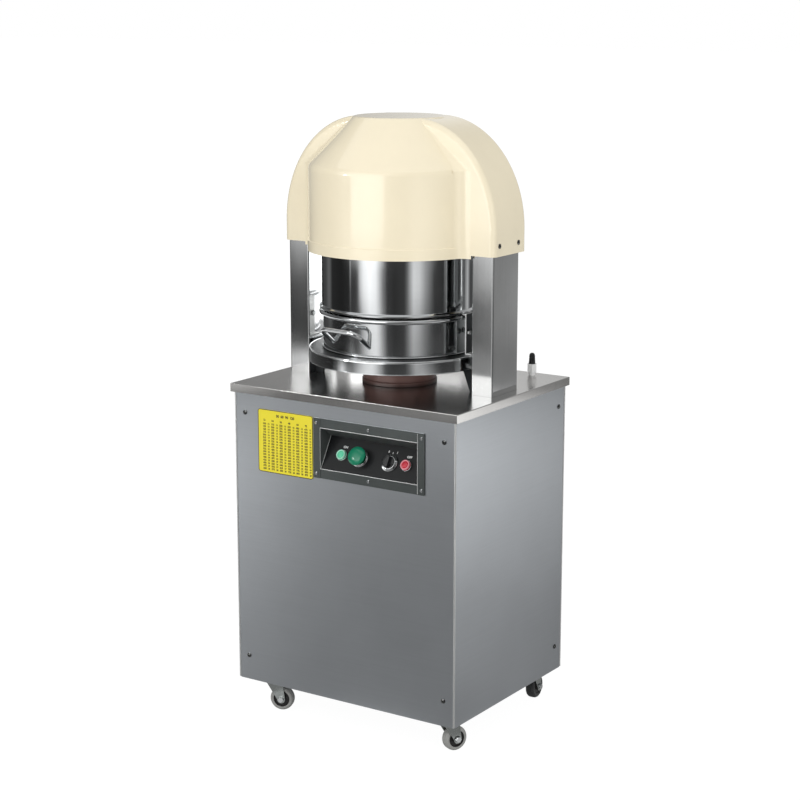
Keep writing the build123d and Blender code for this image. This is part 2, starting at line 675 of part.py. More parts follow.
with BuildPart() as seat_bolts:
    for turn in range(4):
        angle = radians(PEDESTAL_SCREW_TURN + 90 * turn)
        outward = (cos(angle), sin(angle), 0)
        grip = sqrt(PEDESTAL_R**2 - KEEPER_BOLT_R**2)
        foot = (grip * outward[0], HEAD_Y + grip * outward[1], TABLE_TOP + PEDESTAL_SCREW_RISE)
        hexagon(Plane(origin=foot, z_dir=outward), [(0, 0)], KEEPER_BOLT_R, KEEPER_BOLT_HEAD)
    with BuildSketch(head_plane(TABLE_TOP + PEDESTAL_FOOT)):
        Circle(PEDESTAL_R)
    extrude(amount=SEAT_BOTTOM - TABLE_TOP, mode=Mode.SUBTRACT)
    for side in (-1, 1):
        bolt_z = SEAT_TOP + KEEPER_BOLT_RISE
        for face, outward in ((KEEPER_X, -1), (KEEPER_X + KEEPER_SHEET, 1)):
            wall = Plane(origin=(side * face, HEAD_Y, bolt_z), x_dir=(0, 1, 0), z_dir=(side * outward, 0, 0))
            points = [(-KEEPER_BOLT_SPACING / 2, 0), (KEEPER_BOLT_SPACING / 2, 0)]
            hexagon(wall, points, KEEPER_BOLT_R, KEEPER_BOLT_HEAD)
keep(seat_bolts, "seat_bolts")

with BuildPart() as pan_keepers:
    for side in (-1, 1):
        inner = KEEPER_X
        outer = KEEPER_X + KEEPER_SHEET
        lip = PAN_OUTER_R - KEEPER_LIP
        top = KEEPER_LIP_BOTTOM + KEEPER_SHEET
        with BuildSketch(Plane.XZ.offset(KEEPER_LENGTH / 2 - HEAD_Y)):
            with BuildLine():
                Polyline(
                    (side * lip, KEEPER_LIP_BOTTOM),
                    (side * lip, top),
                    (side * outer, top),
                    (side * outer, SEAT_TOP + KEEPER_SHEET),
                    (side * (outer + KEEPER_FOOT), SEAT_TOP + KEEPER_SHEET),
                    (side * (outer + KEEPER_FOOT), SEAT_TOP),
                    (side * inner, SEAT_TOP),
                    (side * inner, KEEPER_LIP_BOTTOM),
                    close=True,
                )
            make_face()
        extrude(amount=-KEEPER_LENGTH)
keep(pan_keepers, "pan_keepers")

# Removable pan with its board and handle
with BuildPart() as dough_pan:
    with BuildSketch(HEAD_SECTION):
        with BuildLine():
            Polyline(
                (0, PAN_BOTTOM),
                (PAN_R, PAN_BOTTOM),
                (PAN_R, PAN_TOP - PAN_BEAD_R),
                (PAN_BORE_R, PAN_TOP - PAN_BEAD_R),
                (PAN_BORE_R, BOARD_BOTTOM),
                (0, BOARD_BOTTOM),
                close=True,
            )
        make_face()
        with Locations((PAN_OUTER_R - PAN_BEAD_R, PAN_TOP - PAN_BEAD_R)):
            Circle(PAN_BEAD_R)
        with Locations(((PAN_BORE_R + PAN_R) / 2, PAN_TOP - PAN_BEAD_R)):
            Circle(PAN_SHEET / 2)
    revolve(axis=HEAD_AXIS)
keep(dough_pan, "dough_pan")

with BuildPart() as dough_board:
    disc(head_plane(BOARD_BOTTOM), PAN_BORE_R - BOARD_FIT, BOARD_THICK)
keep(dough_board, "dough_board")

with BuildPart() as pan_handle:
    heading = radians(-90 + HANDLE_TURN)
    outward = Vector(cos(heading), sin(heading), 0)
    across = Vector(-sin(heading), cos(heading), 0)
    middle = Vector(0, HEAD_Y, PAN_BOTTOM + HANDLE_FOOT_RISE)
    bar = middle + outward * (PAN_R + HANDLE_REACH) + Vector(0, 0, HANDLE_CLIMB)
    wall = middle + outward * sqrt(PAN_R**2 - (HANDLE_SPAN / 2) ** 2)
    foot = wall - (bar - wall).normalized() * 3 * HANDLE_ROD_R
    with BuildLine() as bent_rod:
        FilletPolyline(
            foot + across * (HANDLE_SPAN / 2),
            bar + across * (HANDLE_SPAN / 2),
            bar - across * (HANDLE_SPAN / 2),
            foot - across * (HANDLE_SPAN / 2),
            radius=HANDLE_CORNER,
        )
    with BuildSketch(Plane(origin=bent_rod.line @ 0, z_dir=bent_rod.line % 0)):
        Circle(HANDLE_ROD_R)
    sweep(path=bent_rod.line)
    disc(head_plane(PAN_BOTTOM), PAN_R, PAN_TOP - PAN_BOTTOM, mode=Mode.SUBTRACT)
keep(pan_handle, "pan_handle")

# Drum around the head; brackets on the columns hold it, and gussets there brace the seat
with BuildPart() as head_drum:
    with BuildSketch(HEAD_SECTION):
        with BuildLine():
            Polyline(
                (DRUM_R - DRUM_SHEET, DRUM_BOTTOM),
                (DRUM_FLANGE_R, DRUM_BOTTOM),
                (DRUM_FLANGE_R, DRUM_BOTTOM + DRUM_FLANGE),
                (DRUM_R, DRUM_BOTTOM + 2 * DRUM_FLANGE),
                (DRUM_R, DRUM_TOP),
                (DRUM_R - DRUM_SHEET, DRUM_TOP),
                close=True,
            )
        make_face()
    revolve(axis=HEAD_AXIS)
keep(head_drum, "head_drum")

with BuildPart() as column_brackets:
    half = DRUM_BRACKET_WIDTH / 2
    for x in both_sides(DRUM_R - DRUM_BRACKET_WIDTH, COLUMN_IN):
        slab(x, (HEAD_Y - half, HEAD_Y + half), (DRUM_TOP - DRUM_BRACKET_HEIGHT, DRUM_TOP))
    disc(head_plane(DRUM_TOP - DRUM_BRACKET_HEIGHT), DRUM_R, DRUM_BRACKET_HEIGHT, mode=Mode.SUBTRACT)
    for side in (-1, 1):
        front = HEAD_Y - GUSSET_SETBACK
        with BuildSketch(Plane.XZ.offset(-front)):
            with BuildLine():
                Polyline(
                    (side * COLUMN_IN, TABLE_TOP),
                    (side * (COLUMN_IN - GUSSET_FOOT), TABLE_TOP),
                    (side * (COLUMN_IN - GUSSET_REACH), SEAT_BOTTOM),
                    (side * COLUMN_IN, SEAT_BOTTOM),
                    close=True,
                )
            make_face()
        extrude(amount=GUSSET_SHEET)
keep(column_brackets, "column_brackets")

# Pressing head: crosshead on two lift rods, ram, posts, knives
with BuildPart() as crosshead:
    with BuildSketch(Plane.XY.offset(CROSSHEAD_BOTTOM)):
        Rectangle(2 * (ROD_X + CROSSHEAD_END), CROSSHEAD_DEPTH)
        with Locations((0, HEAD_Y)):
            Circle(CROSSHEAD_BOSS_R)
        with Locations((-ROD_X, 0), (ROD_X, 0)):
            Circle(ROD_R + GUIDE_FIT, mode=Mode.SUBTRACT)
    extrude(amount=CROSSHEAD)
    for x in both_sides(ROD_X - NUT_R - CROSSHEAD_RELIEF, ROD_X + CROSSHEAD_END):
        slab(
            x,
            (-CROSSHEAD_DEPTH / 2, CROSSHEAD_DEPTH / 2),
            (CROSSHEAD_SEAT, CROSSHEAD_TOP),
            mode=Mode.SUBTRACT,
        )
keep(crosshead, "crosshead")

with BuildPart() as lift_rods:
    with BuildSketch(Plane.XY.offset(RACK_TOP)):
        with Locations((-ROD_X, 0), (ROD_X, 0)):
            Circle(ROD_R)
    extrude(amount=CROSSHEAD_TOP - RACK_TOP)
    for bottom in (CROSSHEAD_BOTTOM - NUT_HEIGHT / 2, CROSSHEAD_SEAT):
        with BuildSketch(Plane.XY.offset(bottom)):
            with Locations((-ROD_X, 0), (ROD_X, 0)):
                RegularPolygon(NUT_R, 6)
                Circle(ROD_R + GUIDE_FIT, mode=Mode.SUBTRACT)
        extrude(amount=NUT_HEIGHT / 2)
keep(lift_rods, "lift_rods")

with BuildPart() as racks:
    half_pitch_tooth = RACK_PITCH / 4 - GEAR_BACKLASH / 4
    tip_y = RACK_PITCH_Y + RACK_MODULE
    root_y = RACK_PITCH_Y - 1.25 * RACK_MODULE
    half_tip = half_pitch_tooth - RACK_MODULE * tan(PRESSURE_ANGLE)
    half_root = half_pitch_tooth + 1.25 * RACK_MODULE * tan(PRESSURE_ANGLE)
    first = -int((SHAFT_Z - RACK_BOTTOM - half_root) / RACK_PITCH)
    last = int((RACK_TOP - SHAFT_Z - half_root) / RACK_PITCH)
    outline = [(-RACK_BACK, RACK_TOP), (-RACK_BACK, RACK_BOTTOM), (root_y, RACK_BOTTOM)]
    for tooth in range(first, last + 1):
        middle = SHAFT_Z + tooth * RACK_PITCH
        outline += [(root_y, middle - half_root), (tip_y, middle - half_tip)]
        outline += [(tip_y, middle + half_tip), (root_y, middle + half_root)]
    outline += [(root_y, RACK_TOP)]
    for side in (-1, 1):
        with BuildSketch(Plane.YZ.offset(side * ROD_X - RACK_WIDTH / 2)):
            with BuildLine():
                Polyline(*outline, close=True)
            make_face()
        extrude(amount=RACK_WIDTH)
keep(racks, "racks")

with BuildPart() as head_ram:
    disc(head_plane(HEAD_PLATE_BOTTOM), KNIFE_R, HEAD_PLATE)
    with BuildSketch(head_plane(HEAD_PLATE_TOP)):
        Circle(RAM_R)
        Circle(RAM_R - RAM_WALL, mode=Mode.SUBTRACT)
    extrude(amount=CROSSHEAD_BOTTOM - HEAD_PLATE_TOP)
    with BuildSketch(head_plane(CARRIER_TOP)):
        with PolarLocations(POST_CIRCLE_R, POST_COUNT):
            Circle(POST_R)
    extrude(amount=POST_LENGTH)
keep(head_ram, "head_ram")

stem_radii = []
for inner, outer in zip([KNIFE_HUB_R] + RING_RADII, RING_RADII):
    stem_radii.append((inner + outer) / 2)

with BuildPart() as knife_carrier:
    disc(head_plane(CARRIER_BOTTOM), KNIFE_R, CARRIER)
    with BuildSketch(head_plane(CARRIER_BOTTOM)):
        for stem_r, cells in zip(stem_radii, CELL_COUNT):
            with PolarLocations(stem_r, cells, start_angle=180 / cells):
                Circle(STEM_R + STEM_FIT)
    extrude(amount=CARRIER, mode=Mode.SUBTRACT)
keep(knife_carrier, "knife_carrier")

with BuildPart() as knife_cage:
    with BuildSketch(head_plane(KNIFE_EDGE)):
        for ring_r in reversed(RING_RADII):
            Circle(ring_r)
            Circle(ring_r - KNIFE_BLADE, mode=Mode.SUBTRACT)
        Circle(KNIFE_HUB_R)
        for inner, outer, cells in zip([KNIFE_HUB_R] + RING_RADII, RING_RADII, CELL_COUNT):
            with PolarLocations((inner + outer - KNIFE_BLADE) / 2, cells):
                Rectangle(outer - inner, KNIFE_BLADE)
    extrude(amount=KNIFE_HEIGHT)
keep(knife_cage, "knife_cage")

with BuildPart() as press_pads:
    with BuildSketch(head_plane(PAD_BOTTOM)):
        rings = list(zip([KNIFE_HUB_R] + RING_RADII, RING_RADII, CELL_COUNT))
        for inner, outer, cells in reversed(rings):
            Circle(outer - KNIFE_BLADE - PAD_FIT)
            with PolarLocations((inner + outer) / 2, cells):
                Rectangle(outer - inner, KNIFE_BLADE + 2 * PAD_FIT, mode=Mode.SUBTRACT)
            Circle(inner + PAD_FIT, mode=Mode.SUBTRACT)
    extrude(amount=PAD_THICK)
    with BuildSketch(head_plane(PAD_TOP)):
        for stem_r, cells in zip(stem_radii, CELL_COUNT):
            with PolarLocations(stem_r, cells, start_angle=180 / cells):
                Circle(STEM_R)
    extrude(amount=SPIDER_BOTTOM - PAD_TOP)
keep(press_pads, "press_pads")

with BuildPart() as press_spider:
    with BuildSketch(head_plane(SPIDER_BOTTOM)):
        Circle(SPIDER_R)
        with PolarLocations(POST_CIRCLE_R, POST_COUNT):
            Circle(POST_R + POST_FIT, mode=Mode.SUBTRACT)
    extrude(amount=SPIDER)
keep(press_spider, "press_spider")

with BuildPart() as press_springs:
    with BuildSketch(head_plane(SPIDER_TOP)):
        with PolarLocations(POST_CIRCLE_R, POST_COUNT):
            Circle(SPRING_R)
            Circle(SPRING_R - SPRING_WIRE, mode=Mode.SUBTRACT)
    extrude(amount=HEAD_PLATE_BOTTOM - SPIDER_TOP)
keep(press_springs, "press_springs")

# Drive under the table
with BuildPart() as drive_plate:
    plate_hx = FRAME_HX - 2 * FRAME_STEEL
    plate_hy = DRIVE_PLATE_DEPTH / 2
    plate_z = (DRIVE_PLATE_TOP - DRIVE_PLATE, DRIVE_PLATE_TOP)
    slab((-plate_hx, plate_hx), (-plate_hy, plate_hy), plate_z)
    slot_half = RACK_WIDTH / 2 + SLOT_FIT
    slot_y = (-RACK_BACK - SLOT_FIT, RACK_PITCH_Y + RACK_MODULE + SLOT_FIT)
    for x in both_sides(ROD_X - slot_half, ROD_X + slot_half):
        slab(x, slot_y, plate_z, mode=Mode.SUBTRACT)
keep(drive_plate, "drive_plate")

with BuildPart() as cross_shaft:
    shaft_half = ROD_X + SHAFT_END
    disc(
        Plane(origin=(-shaft_half, SHAFT_Y, SHAFT_Z), x_dir=(0, 1, 0), z_dir=(1, 0, 0)),
        SHAFT_R,
        2 * shaft_half,
    )
    for side in (-1, 1):
        left = side * ROD_X - RACK_PINION_WIDTH / 2
        with BuildSketch(Plane(origin=(left, SHAFT_Y, SHAFT_Z), x_dir=(0, 1, 0), z_dir=(1, 0, 0))):
            gear_outline(RACK_PINION_TEETH, RACK_MODULE, pi + pi / RACK_PINION_TEETH)
        extrude(amount=RACK_PINION_WIDTH)
keep(cross_shaft, "cross_shaft")

mesh_angle = atan2(MOTOR_Z - SHAFT_Z, MOTOR_Y - SHAFT_Y)
gear_left = GEAR_X - GEAR_WIDTH / 2

with BuildPart() as bull_gear:
    with BuildSketch(Plane(origin=(gear_left, SHAFT_Y, SHAFT_Z), x_dir=(0, 1, 0), z_dir=(1, 0, 0))):
        gear_outline(BULL_TEETH, GEAR_MODULE, mesh_angle)
        Circle(SHAFT_R + GUIDE_FIT, mode=Mode.SUBTRACT)
    extrude(amount=GEAR_WIDTH)
keep(bull_gear, "bull_gear")

with BuildPart() as drive_pinion:
    with BuildSketch(Plane(origin=(gear_left, MOTOR_Y, MOTOR_Z), x_dir=(0, 1, 0), z_dir=(1, 0, 0))):
        gear_outline(DRIVE_TEETH, GEAR_MODULE, mesh_angle + pi + pi / DRIVE_TEETH)
    extrude(amount=GEAR_WIDTH)
    shaft_left = GEARBOX_RIGHT - OUTPUT_SHAFT_GRIP
    shaft_plane = Plane(origin=(shaft_left, MOTOR_Y, MOTOR_Z), x_dir=(0, 1, 0), z_dir=(1, 0, 0))
    disc(shaft_plane, OUTPUT_SHAFT_R, gear_left - shaft_left)
keep(drive_pinion, "drive_pinion")

with BuildPart() as bearing_stands:
    for x in both_sides(STAND_X - STAND_WIDTH / 2, STAND_X + STAND_WIDTH / 2):
        half = STAND_DEPTH / 2
        slab(x, (SHAFT_Y - half, SHAFT_Y + half), (DRIVE_PLATE_TOP, SHAFT_Z + half))
        seat = Plane(origin=(x[0], SHAFT_Y, SHAFT_Z), x_dir=(0, 1, 0), z_dir=(1, 0, 0))
        disc(seat, BEARING_R, STAND_WIDTH, mode=Mode.SUBTRACT)
        with BuildSketch(seat):
            Circle(BEARING_R - GUIDE_FIT)
            Circle(SHAFT_R + RUNNING_FIT, mode=Mode.SUBTRACT)
        extrude(amount=STAND_WIDTH)
keep(bearing_stands, "bearing_stands")

with BuildPart() as gearbox_housing:
    half = GEARBOX_DEPTH / 2
    slab((GEARBOX_LEFT, GEARBOX_RIGHT), (MOTOR_Y - half, MOTOR_Y + half), (DRIVE_PLATE_TOP, MOTOR_Z + half))
    fillet(edges().filter_by(Axis.X).group_by(Axis.Z)[-1], radius=GEARBOX_EDGE)
    bore = Plane(origin=(GEARBOX_RIGHT, MOTOR_Y, MOTOR_Z), x_dir=(0, 1, 0), z_dir=(1, 0, 0))
    disc(bore, OUTPUT_SHAFT_R + RUNNING_FIT, -OUTPUT_SHAFT_GRIP - SLOT_FIT, mode=Mode.SUBTRACT)
keep(gearbox_housing, "gearbox_housing")

with BuildPart() as motor:
    disc(
        Plane(origin=(MOTOR_LEFT, MOTOR_Y, MOTOR_Z), x_dir=(0, 1, 0), z_dir=(1, 0, 0)),
        MOTOR_R,
        MOTOR_LENGTH,
    )
    with BuildSketch(Plane(origin=(MOTOR_LEFT, MOTOR_Y, MOTOR_Z), x_dir=(0, 1, 0), z_dir=(1, 0, 0))):
        with PolarLocations(MOTOR_R, MOTOR_FIN_COUNT):
            Rectangle(2 * MOTOR_FIN, MOTOR_FIN / 2)
    extrude(amount=MOTOR_LENGTH)
    disc(
        Plane(origin=(MOTOR_LEFT - FAN_COVER_LENGTH, MOTOR_Y, MOTOR_Z), x_dir=(0, 1, 0), z_dir=(1, 0, 0)),
        MOTOR_R + MOTOR_FIN,
        FAN_COVER_LENGTH,
    )
    box_x = MOTOR_LEFT + MOTOR_LENGTH / 2
    box_z = MOTOR_Z + MOTOR_R
    slab(
        (box_x - TERMINAL_BOX[0] / 2, box_x + TERMINAL_BOX[0] / 2),
        (MOTOR_Y - TERMINAL_BOX[1] / 2, MOTOR_Y + TERMINAL_BOX[1] / 2),
        (box_z - MOTOR_FIN, box_z + TERMINAL_BOX[2]),
    )
keep(motor, "motor")

with BuildPart() as electrical_box:
    box_bottom = DRIVE_PLATE_TOP + ELECTRICAL_BOX_RISE
    slab(
        (-ELECTRICAL_BOX[0] / 2, ELECTRICAL_BOX[0] / 2),
        (FRAME_HY - ELECTRICAL_BOX[1], FRAME_HY),
        (box_bottom, box_bottom + ELECTRICAL_BOX[2]),
    )
keep(electrical_box, "electrical_box")

with BuildPart() as limit_switches:
    roller_y = -RACK_BACK - SWITCH_GAP - SWITCH_ROLLER_R
    back_y = roller_y - SWITCH_BODY[1]
    switch_x = (ROD_X - SWITCH_BODY[0] / 2, ROD_X + SWITCH_BODY[0] / 2)
    slab(switch_x, (back_y - SWITCH_STRIP, back_y), (DRIVE_PLATE_TOP, RACK_TOP))
    for middle in (RACK_BOTTOM + SWITCH_BODY[2] / 2, RACK_TOP - SWITCH_BODY[2] / 2):
        slab(switch_x, (back_y, roller_y), (middle - SWITCH_BODY[2] / 2, middle + SWITCH_BODY[2] / 2))
        roller = Plane(origin=(switch_x[0], roller_y, middle), x_dir=(0, 1, 0), z_dir=(1, 0, 0))
        disc(roller, SWITCH_ROLLER_R, SWITCH_BODY[0])
keep(limit_switches, "limit_switches")


# Hood: an arched band over both columns, with a round bulge around the drum
def web_section(height, bulge_r, web_r, face_y, side):
    """Section of the rounded web between the bulge and the band's front or rear face."""
    reach = abs(face_y - HEAD_Y)
    out = (face_y - HEAD_Y) / reach
    foot_x = sqrt((bulge_r + web_r) ** 2 - (reach + web_r) ** 2)
    centre = Vector(side * foot_x, face_y + out * web_r)
    foot = Vector(side * foot_x, face_y)
    touch = Vector(0, HEAD_Y) + (centre - Vector(0, HEAD_Y)) * (bulge_r / (bulge_r + web_r))
    middle = centre + ((foot - centre) + (touch - centre)).normalized() * web_r
    inside_y = face_y - out * BULGE_WEB_LAP
    corner_x = side * (sqrt(bulge_r**2 - reach**2) - BULGE_WEB_LAP)
    with BuildSketch(Plane.XY.offset(height)) as section:
        with BuildLine():
            ThreePointArc(foot, middle, touch)
            Polyline(touch, (corner_x, inside_y), (side * foot_x, inside_y), foot)
        make_face()
    return section.sketch


def hood_body(inset):
    """Solid hood, or with an inset the space inside its wall."""
    half = HOOD_HALF_WIDTH - inset
    top = HOOD_TOP - inset
    rear = HOOD_REAR - inset
    front = HOOD_FRONT + inset
    band_bottom = HOOD_BAND_BOTTOM - 3 * inset
    rim = HOOD_RIM - inset
    round_r = BULGE_R - inset
    shoulder = BULGE_SHOULDER - inset * tan(pi / 8)
    top_r = BULGE_TOP_R - inset * tan(pi / 8)
    lip = BULGE_LIP if inset == 0 else -BULGE_LIP
    with BuildPart() as body:
        with BuildSketch(Plane.XZ.offset(-rear)):
            with BuildLine():
                Polyline(
                    (-half, HOOD_ARCH_SPRING),
                    (-half, band_bottom),
                    (half, band_bottom),
                    (half, HOOD_ARCH_SPRING),
                )
                arch = (half - HOOD_FLAT_HALF, top - HOOD_ARCH_SPRING)
                EllipticalCenterArc((HOOD_FLAT_HALF, HOOD_ARCH_SPRING), *arch, start_angle=0, arc_size=90)
                Line((HOOD_FLAT_HALF, top), (-HOOD_FLAT_HALF, top))
                EllipticalCenterArc((-HOOD_FLAT_HALF, HOOD_ARCH_SPRING), *arch, start_angle=90, arc_size=90)
            make_face()
        extrude(amount=rear - front)
        for end in (0, -1):
            outline = body.edges().group_by(Axis.Y)[end]
            fillet(outline.filter_by(lambda e: e.center().Z > band_bottom + 1), radius=HOOD_EDGE - inset)
        with BuildSketch(HEAD_SECTION) as section:
            with BuildLine():
                Polyline(
                    (0, rim),
                    (round_r + lip, rim),
                    (round_r + lip, BULGE_LIP_TOP - BULGE_LIP),
                    (round_r, BULGE_LIP_TOP),
                    (round_r, shoulder),
                    (top_r, top),
                    (0, top),
                    close=True,
                )
            make_face()
            fillet(section.vertices().sort_by_distance((round_r, shoulder))[0], radius=BULGE_SHOULDER_ROUND)
            fillet(section.vertices().sort_by_distance((top_r, top))[0], radius=BULGE_TOP_ROUND)
        revolve(axis=HEAD_AXIS)
    return body.part


hood_outside = hood_body(0)
hood_inside = hood_body(HOOD_WALL)
web_top = HOOD_TOP - BULGE_WEB_DROP
web_top_r = BULGE_TOP_R + (BULGE_R - BULGE_TOP_R) * BULGE_WEB_DROP / BULGE_CONE

with BuildPart() as hood:
    add(hood_outside)
    for face_y in (HOOD_FRONT, HOOD_REAR):
        for side in (-1, 1):
            shoulder_web = web_section(BULGE_SHOULDER, BULGE_R, BULGE_WEB_R, face_y, side)
            end_web = web_section(web_top, web_top_r, BULGE_WEB_END_R, face_y, side)
            extrude(shoulder_web, amount=HOOD_RIM - BULGE_SHOULDER)
            loft([shoulder_web, end_web], ruled=True)
    add(hood_inside, mode=Mode.SUBTRACT)
keep(hood, "hood")

with BuildPart() as hood_fixings:
    screw_z = HOOD_BAND_BOTTOM + HOOD_SCREW_RISE
    places = [(-HOOD_SCREW_SPACING / 2, screw_z), (HOOD_SCREW_SPACING / 2, screw_z)]
    for side in (-1, 1):
        heads(
            Plane(origin=(side * HOOD_HALF_WIDTH, 0, 0), x_dir=(0, side, 0), z_dir=(side, 0, 0)),
            places,
            SCREW_R,
            SCREW_HEAD,
        )
        with BuildSketch(Plane(origin=(side * COLUMN_OUT, 0, 0), x_dir=(0, side, 0), z_dir=(side, 0, 0))):
            with Locations(*places):
                Circle(HOOD_SPACER_R)
        extrude(amount=HOOD_SIDE_INNER - COLUMN_OUT)
keep(hood_fixings, "hood_fixings")

# Control recess: a wedge-shaped pocket whose tilted floor is the control plate
tilt_up = (sin(POCKET_TILT), cos(POCKET_TILT))
tilt_in = (cos(POCKET_TILT), -sin(POCKET_TILT))
pocket_foot = (BEZEL_FACE, POCKET_LOW)
pocket_head = (BEZEL_FACE, POCKET_LOW + POCKET_HEIGHT)
pocket_back = (BEZEL_FACE + POCKET_LEG * tilt_up[0], POCKET_LOW + POCKET_LEG * tilt_up[1])
plate_foot = (pocket_foot[0] + CONTROL_PLATE * tilt_in[0], pocket_foot[1] + CONTROL_PLATE * tilt_in[1])
plate_back = (pocket_back[0] + CONTROL_PLATE * tilt_in[0], pocket_back[1] + CONTROL_PLATE * tilt_in[1])
roof_front = (pocket_head[0] + POCKET_SHEET * tilt_up[0], pocket_head[1] + POCKET_SHEET * tilt_up[1])
roof_back = (plate_back[0] + POCKET_SHEET * tilt_up[0], plate_back[1] + POCKET_SHEET * tilt_up[1])
CONTROL_PLANE = Plane(
    origin=(CONTROL_X, BEZEL_FACE + CONTROL_ROW * tilt_up[0], POCKET_LOW + CONTROL_ROW * tilt_up[1]),
    x_dir=(1, 0, 0),
    z_dir=(0, -tilt_in[0], -tilt_in[1]),
)
CONTROL_AXIS = Axis(CONTROL_PLANE.origin, CONTROL_PLANE.z_dir)


def wedge(outline, half_width, mode=Mode.ADD):
    """Block across the recess with the given outline in its upright section."""
    with BuildSketch(Plane.YZ.offset(CONTROL_X - half_width)) as section:
        with BuildLine():
            Polyline(*outline, close=True)
        make_face()
    extrude(section.sketch, amount=2 * half_width, mode=mode)


with BuildPart() as control_bezel:
    with BuildSketch(Plane(origin=(CONTROL_X, -CABINET_HY, CONTROL_Z), x_dir=(1, 0, 0), z_dir=(0, -1, 0))):
        RectangleRounded(BEZEL_WIDTH, BEZEL_HEIGHT, BEZEL_EDGE)
    extrude(amount=BEZEL_SHEET)
    for side in (-1, 1):
        strip = sorted((CONTROL_X + side * POCKET_WIDTH / 2, CONTROL_X + side * BEZEL_WIDTH / 2))
        ends = (CONTROL_Z - BEZEL_HEIGHT / 2, CONTROL_Z + BEZEL_HEIGHT / 2)
        slab(strip, (BEZEL_FACE - BEZEL_STRIP, BEZEL_FACE), ends)
    wedge((pocket_foot, plate_foot, roof_back, roof_front, pocket_head), POCKET_WIDTH / 2 + POCKET_SHEET)
    wedge(
        (pocket_foot, plate_foot, plate_back, pocket_back, pocket_head),
        POCKET_WIDTH / 2,
        mode=Mode.SUBTRACT,
    )
keep(control_bezel, "control_bezel")

with BuildPart() as control_plate:
    wedge((pocket_foot, plate_foot, plate_back, pocket_back), POCKET_WIDTH / 2 - PLATE_FIT)
    with BuildSketch(CONTROL_PLANE):
        with Locations((START_X, 0)):
            Circle(START_STEM_R + CONTROL_FIT)
    extrude(amount=-CONTROL_PLATE, mode=Mode.SUBTRACT)
keep(control_plate, "control_plate")

with BuildPart() as control_collars:
    for x, outer, inner, height in (
        (GREEN_LAMP_X, LAMP_COLLAR_R, LAMP_R + GUIDE_FIT, LAMP_COLLAR),
        (RED_LAMP_X, LAMP_COLLAR_R, LAMP_R + GUIDE_FIT, LAMP_COLLAR),
        (START_X, START_COLLAR_R, START_STEM_R + CONTROL_FIT, START_COLLAR),
        (SELECTOR_X, SELECTOR_COLLAR_R, SELECTOR_R + CONTROL_FIT, SELECTOR_COLLAR),
    ):
        with BuildSketch(CONTROL_PLANE):
            with Locations((x, 0)):
                Circle(outer)
                Circle(inner, mode=Mode.SUBTRACT)
        extrude(amount=height)
keep(control_collars, "control_collars")

for name, x in (("green_lamp", GREEN_LAMP_X), ("red_lamp", RED_LAMP_X)):
    with BuildPart() as lamp:
        with BuildSketch(CONTROL_PLANE):
            with Locations((x, 0)):
                Circle(LAMP_R)
        extrude(amount=LAMP_HEIGHT)
        fillet(lamp.edges().filter_by(GeomType.CIRCLE).sort_by(CONTROL_AXIS)[-1], radius=LAMP_DOME)
    keep(lamp, name)

with BuildPart() as contact_blocks:
    with BuildSketch(CONTROL_PLANE.offset(-CONTROL_PLATE)):
        with Locations(*[(x, 0) for x in (GREEN_LAMP_X, START_X, SELECTOR_X, RED_LAMP_X)]):
            Rectangle(CONTACT_BLOCK[0], CONTACT_BLOCK[1])
    extrude(amount=-CONTACT_BLOCK[2])
    with BuildSketch(CONTROL_PLANE.offset(-CONTROL_PLATE)):
        with Locations((START_X, 0)):
            Circle(START_STEM_R + CONTROL_FIT)
    extrude(amount=-START_TRAVEL, mode=Mode.SUBTRACT)
keep(contact_blocks, "contact_blocks")

with BuildPart() as start_button:
    with BuildSketch(CONTROL_PLANE.offset(CONTROL_FIT)):
        with Locations((START_X, 0)):
            Circle(START_STEM_R)
    extrude(amount=START_STEM)
    with BuildSketch(CONTROL_PLANE.offset(START_STEM)):
        with Locations((START_X, 0)):
            Circle(START_R)
    extrude(amount=START_HEAD)
    fillet(
        start_button.edges().filter_by(GeomType.CIRCLE).sort_by(CONTROL_AXIS)[-1],
        radius=START_HEAD * 0.75,
    )
keep(start_button, "start_button")

with BuildPart() as selector_knob:
    with BuildSketch(CONTROL_PLANE.offset(CONTROL_FIT)):
        with Locations((SELECTOR_X, 0)):
            Circle(SELECTOR_R)
    extrude(amount=SELECTOR_BASE)
    with BuildSketch(CONTROL_PLANE.offset(CONTROL_FIT)):
        with Locations((SELECTOR_X, 0)):
            Rectangle(SELECTOR_GRIP[0], SELECTOR_GRIP[1])
    extrude(amount=SELECTOR_GRIP[2])
keep(selector_knob, "selector_knob")

with BuildPart() as chart_plate:
    with BuildSketch(Plane(origin=(CHART_X, -CABINET_HY, CHART_Z), x_dir=(1, 0, 0), z_dir=(0, -1, 0))):
        RectangleRounded(CHART_WIDTH, CHART_HEIGHT, CHART_CORNER)
    extrude(amount=CHART_SHEET)
keep(chart_plate, "chart_plate")

# Cable gland at the rear corner of the table
with BuildPart() as cable_gland:
    gland_base = Plane(origin=(GLAND_X, GLAND_Y, TABLE_TOP))
    disc(gland_base, GLAND_NECK_R, GLAND_NECK)
    hexagon(gland_base.offset(GLAND_NECK), [(0, 0)], GLAND_NUT_R, GLAND_NUT)
    disc(gland_base, SLEEVE_BORE_R, GLAND_NECK + GLAND_NUT, mode=Mode.SUBTRACT)
keep(cable_gland, "cable_gland")

with BuildPart() as gland_sleeve:
    sleeve_base = gland_base.offset(GLAND_NECK + GLAND_NUT)
    with Locations(sleeve_base):
        Cone(SLEEVE_R, SLEEVE_TOP_R, SLEEVE_HEIGHT, align=(Align.CENTER, Align.CENTER, Align.MIN))
    disc(sleeve_base, SLEEVE_BORE_R, SLEEVE_HEIGHT, mode=Mode.SUBTRACT)
keep(gland_sleeve, "gland_sleeve")

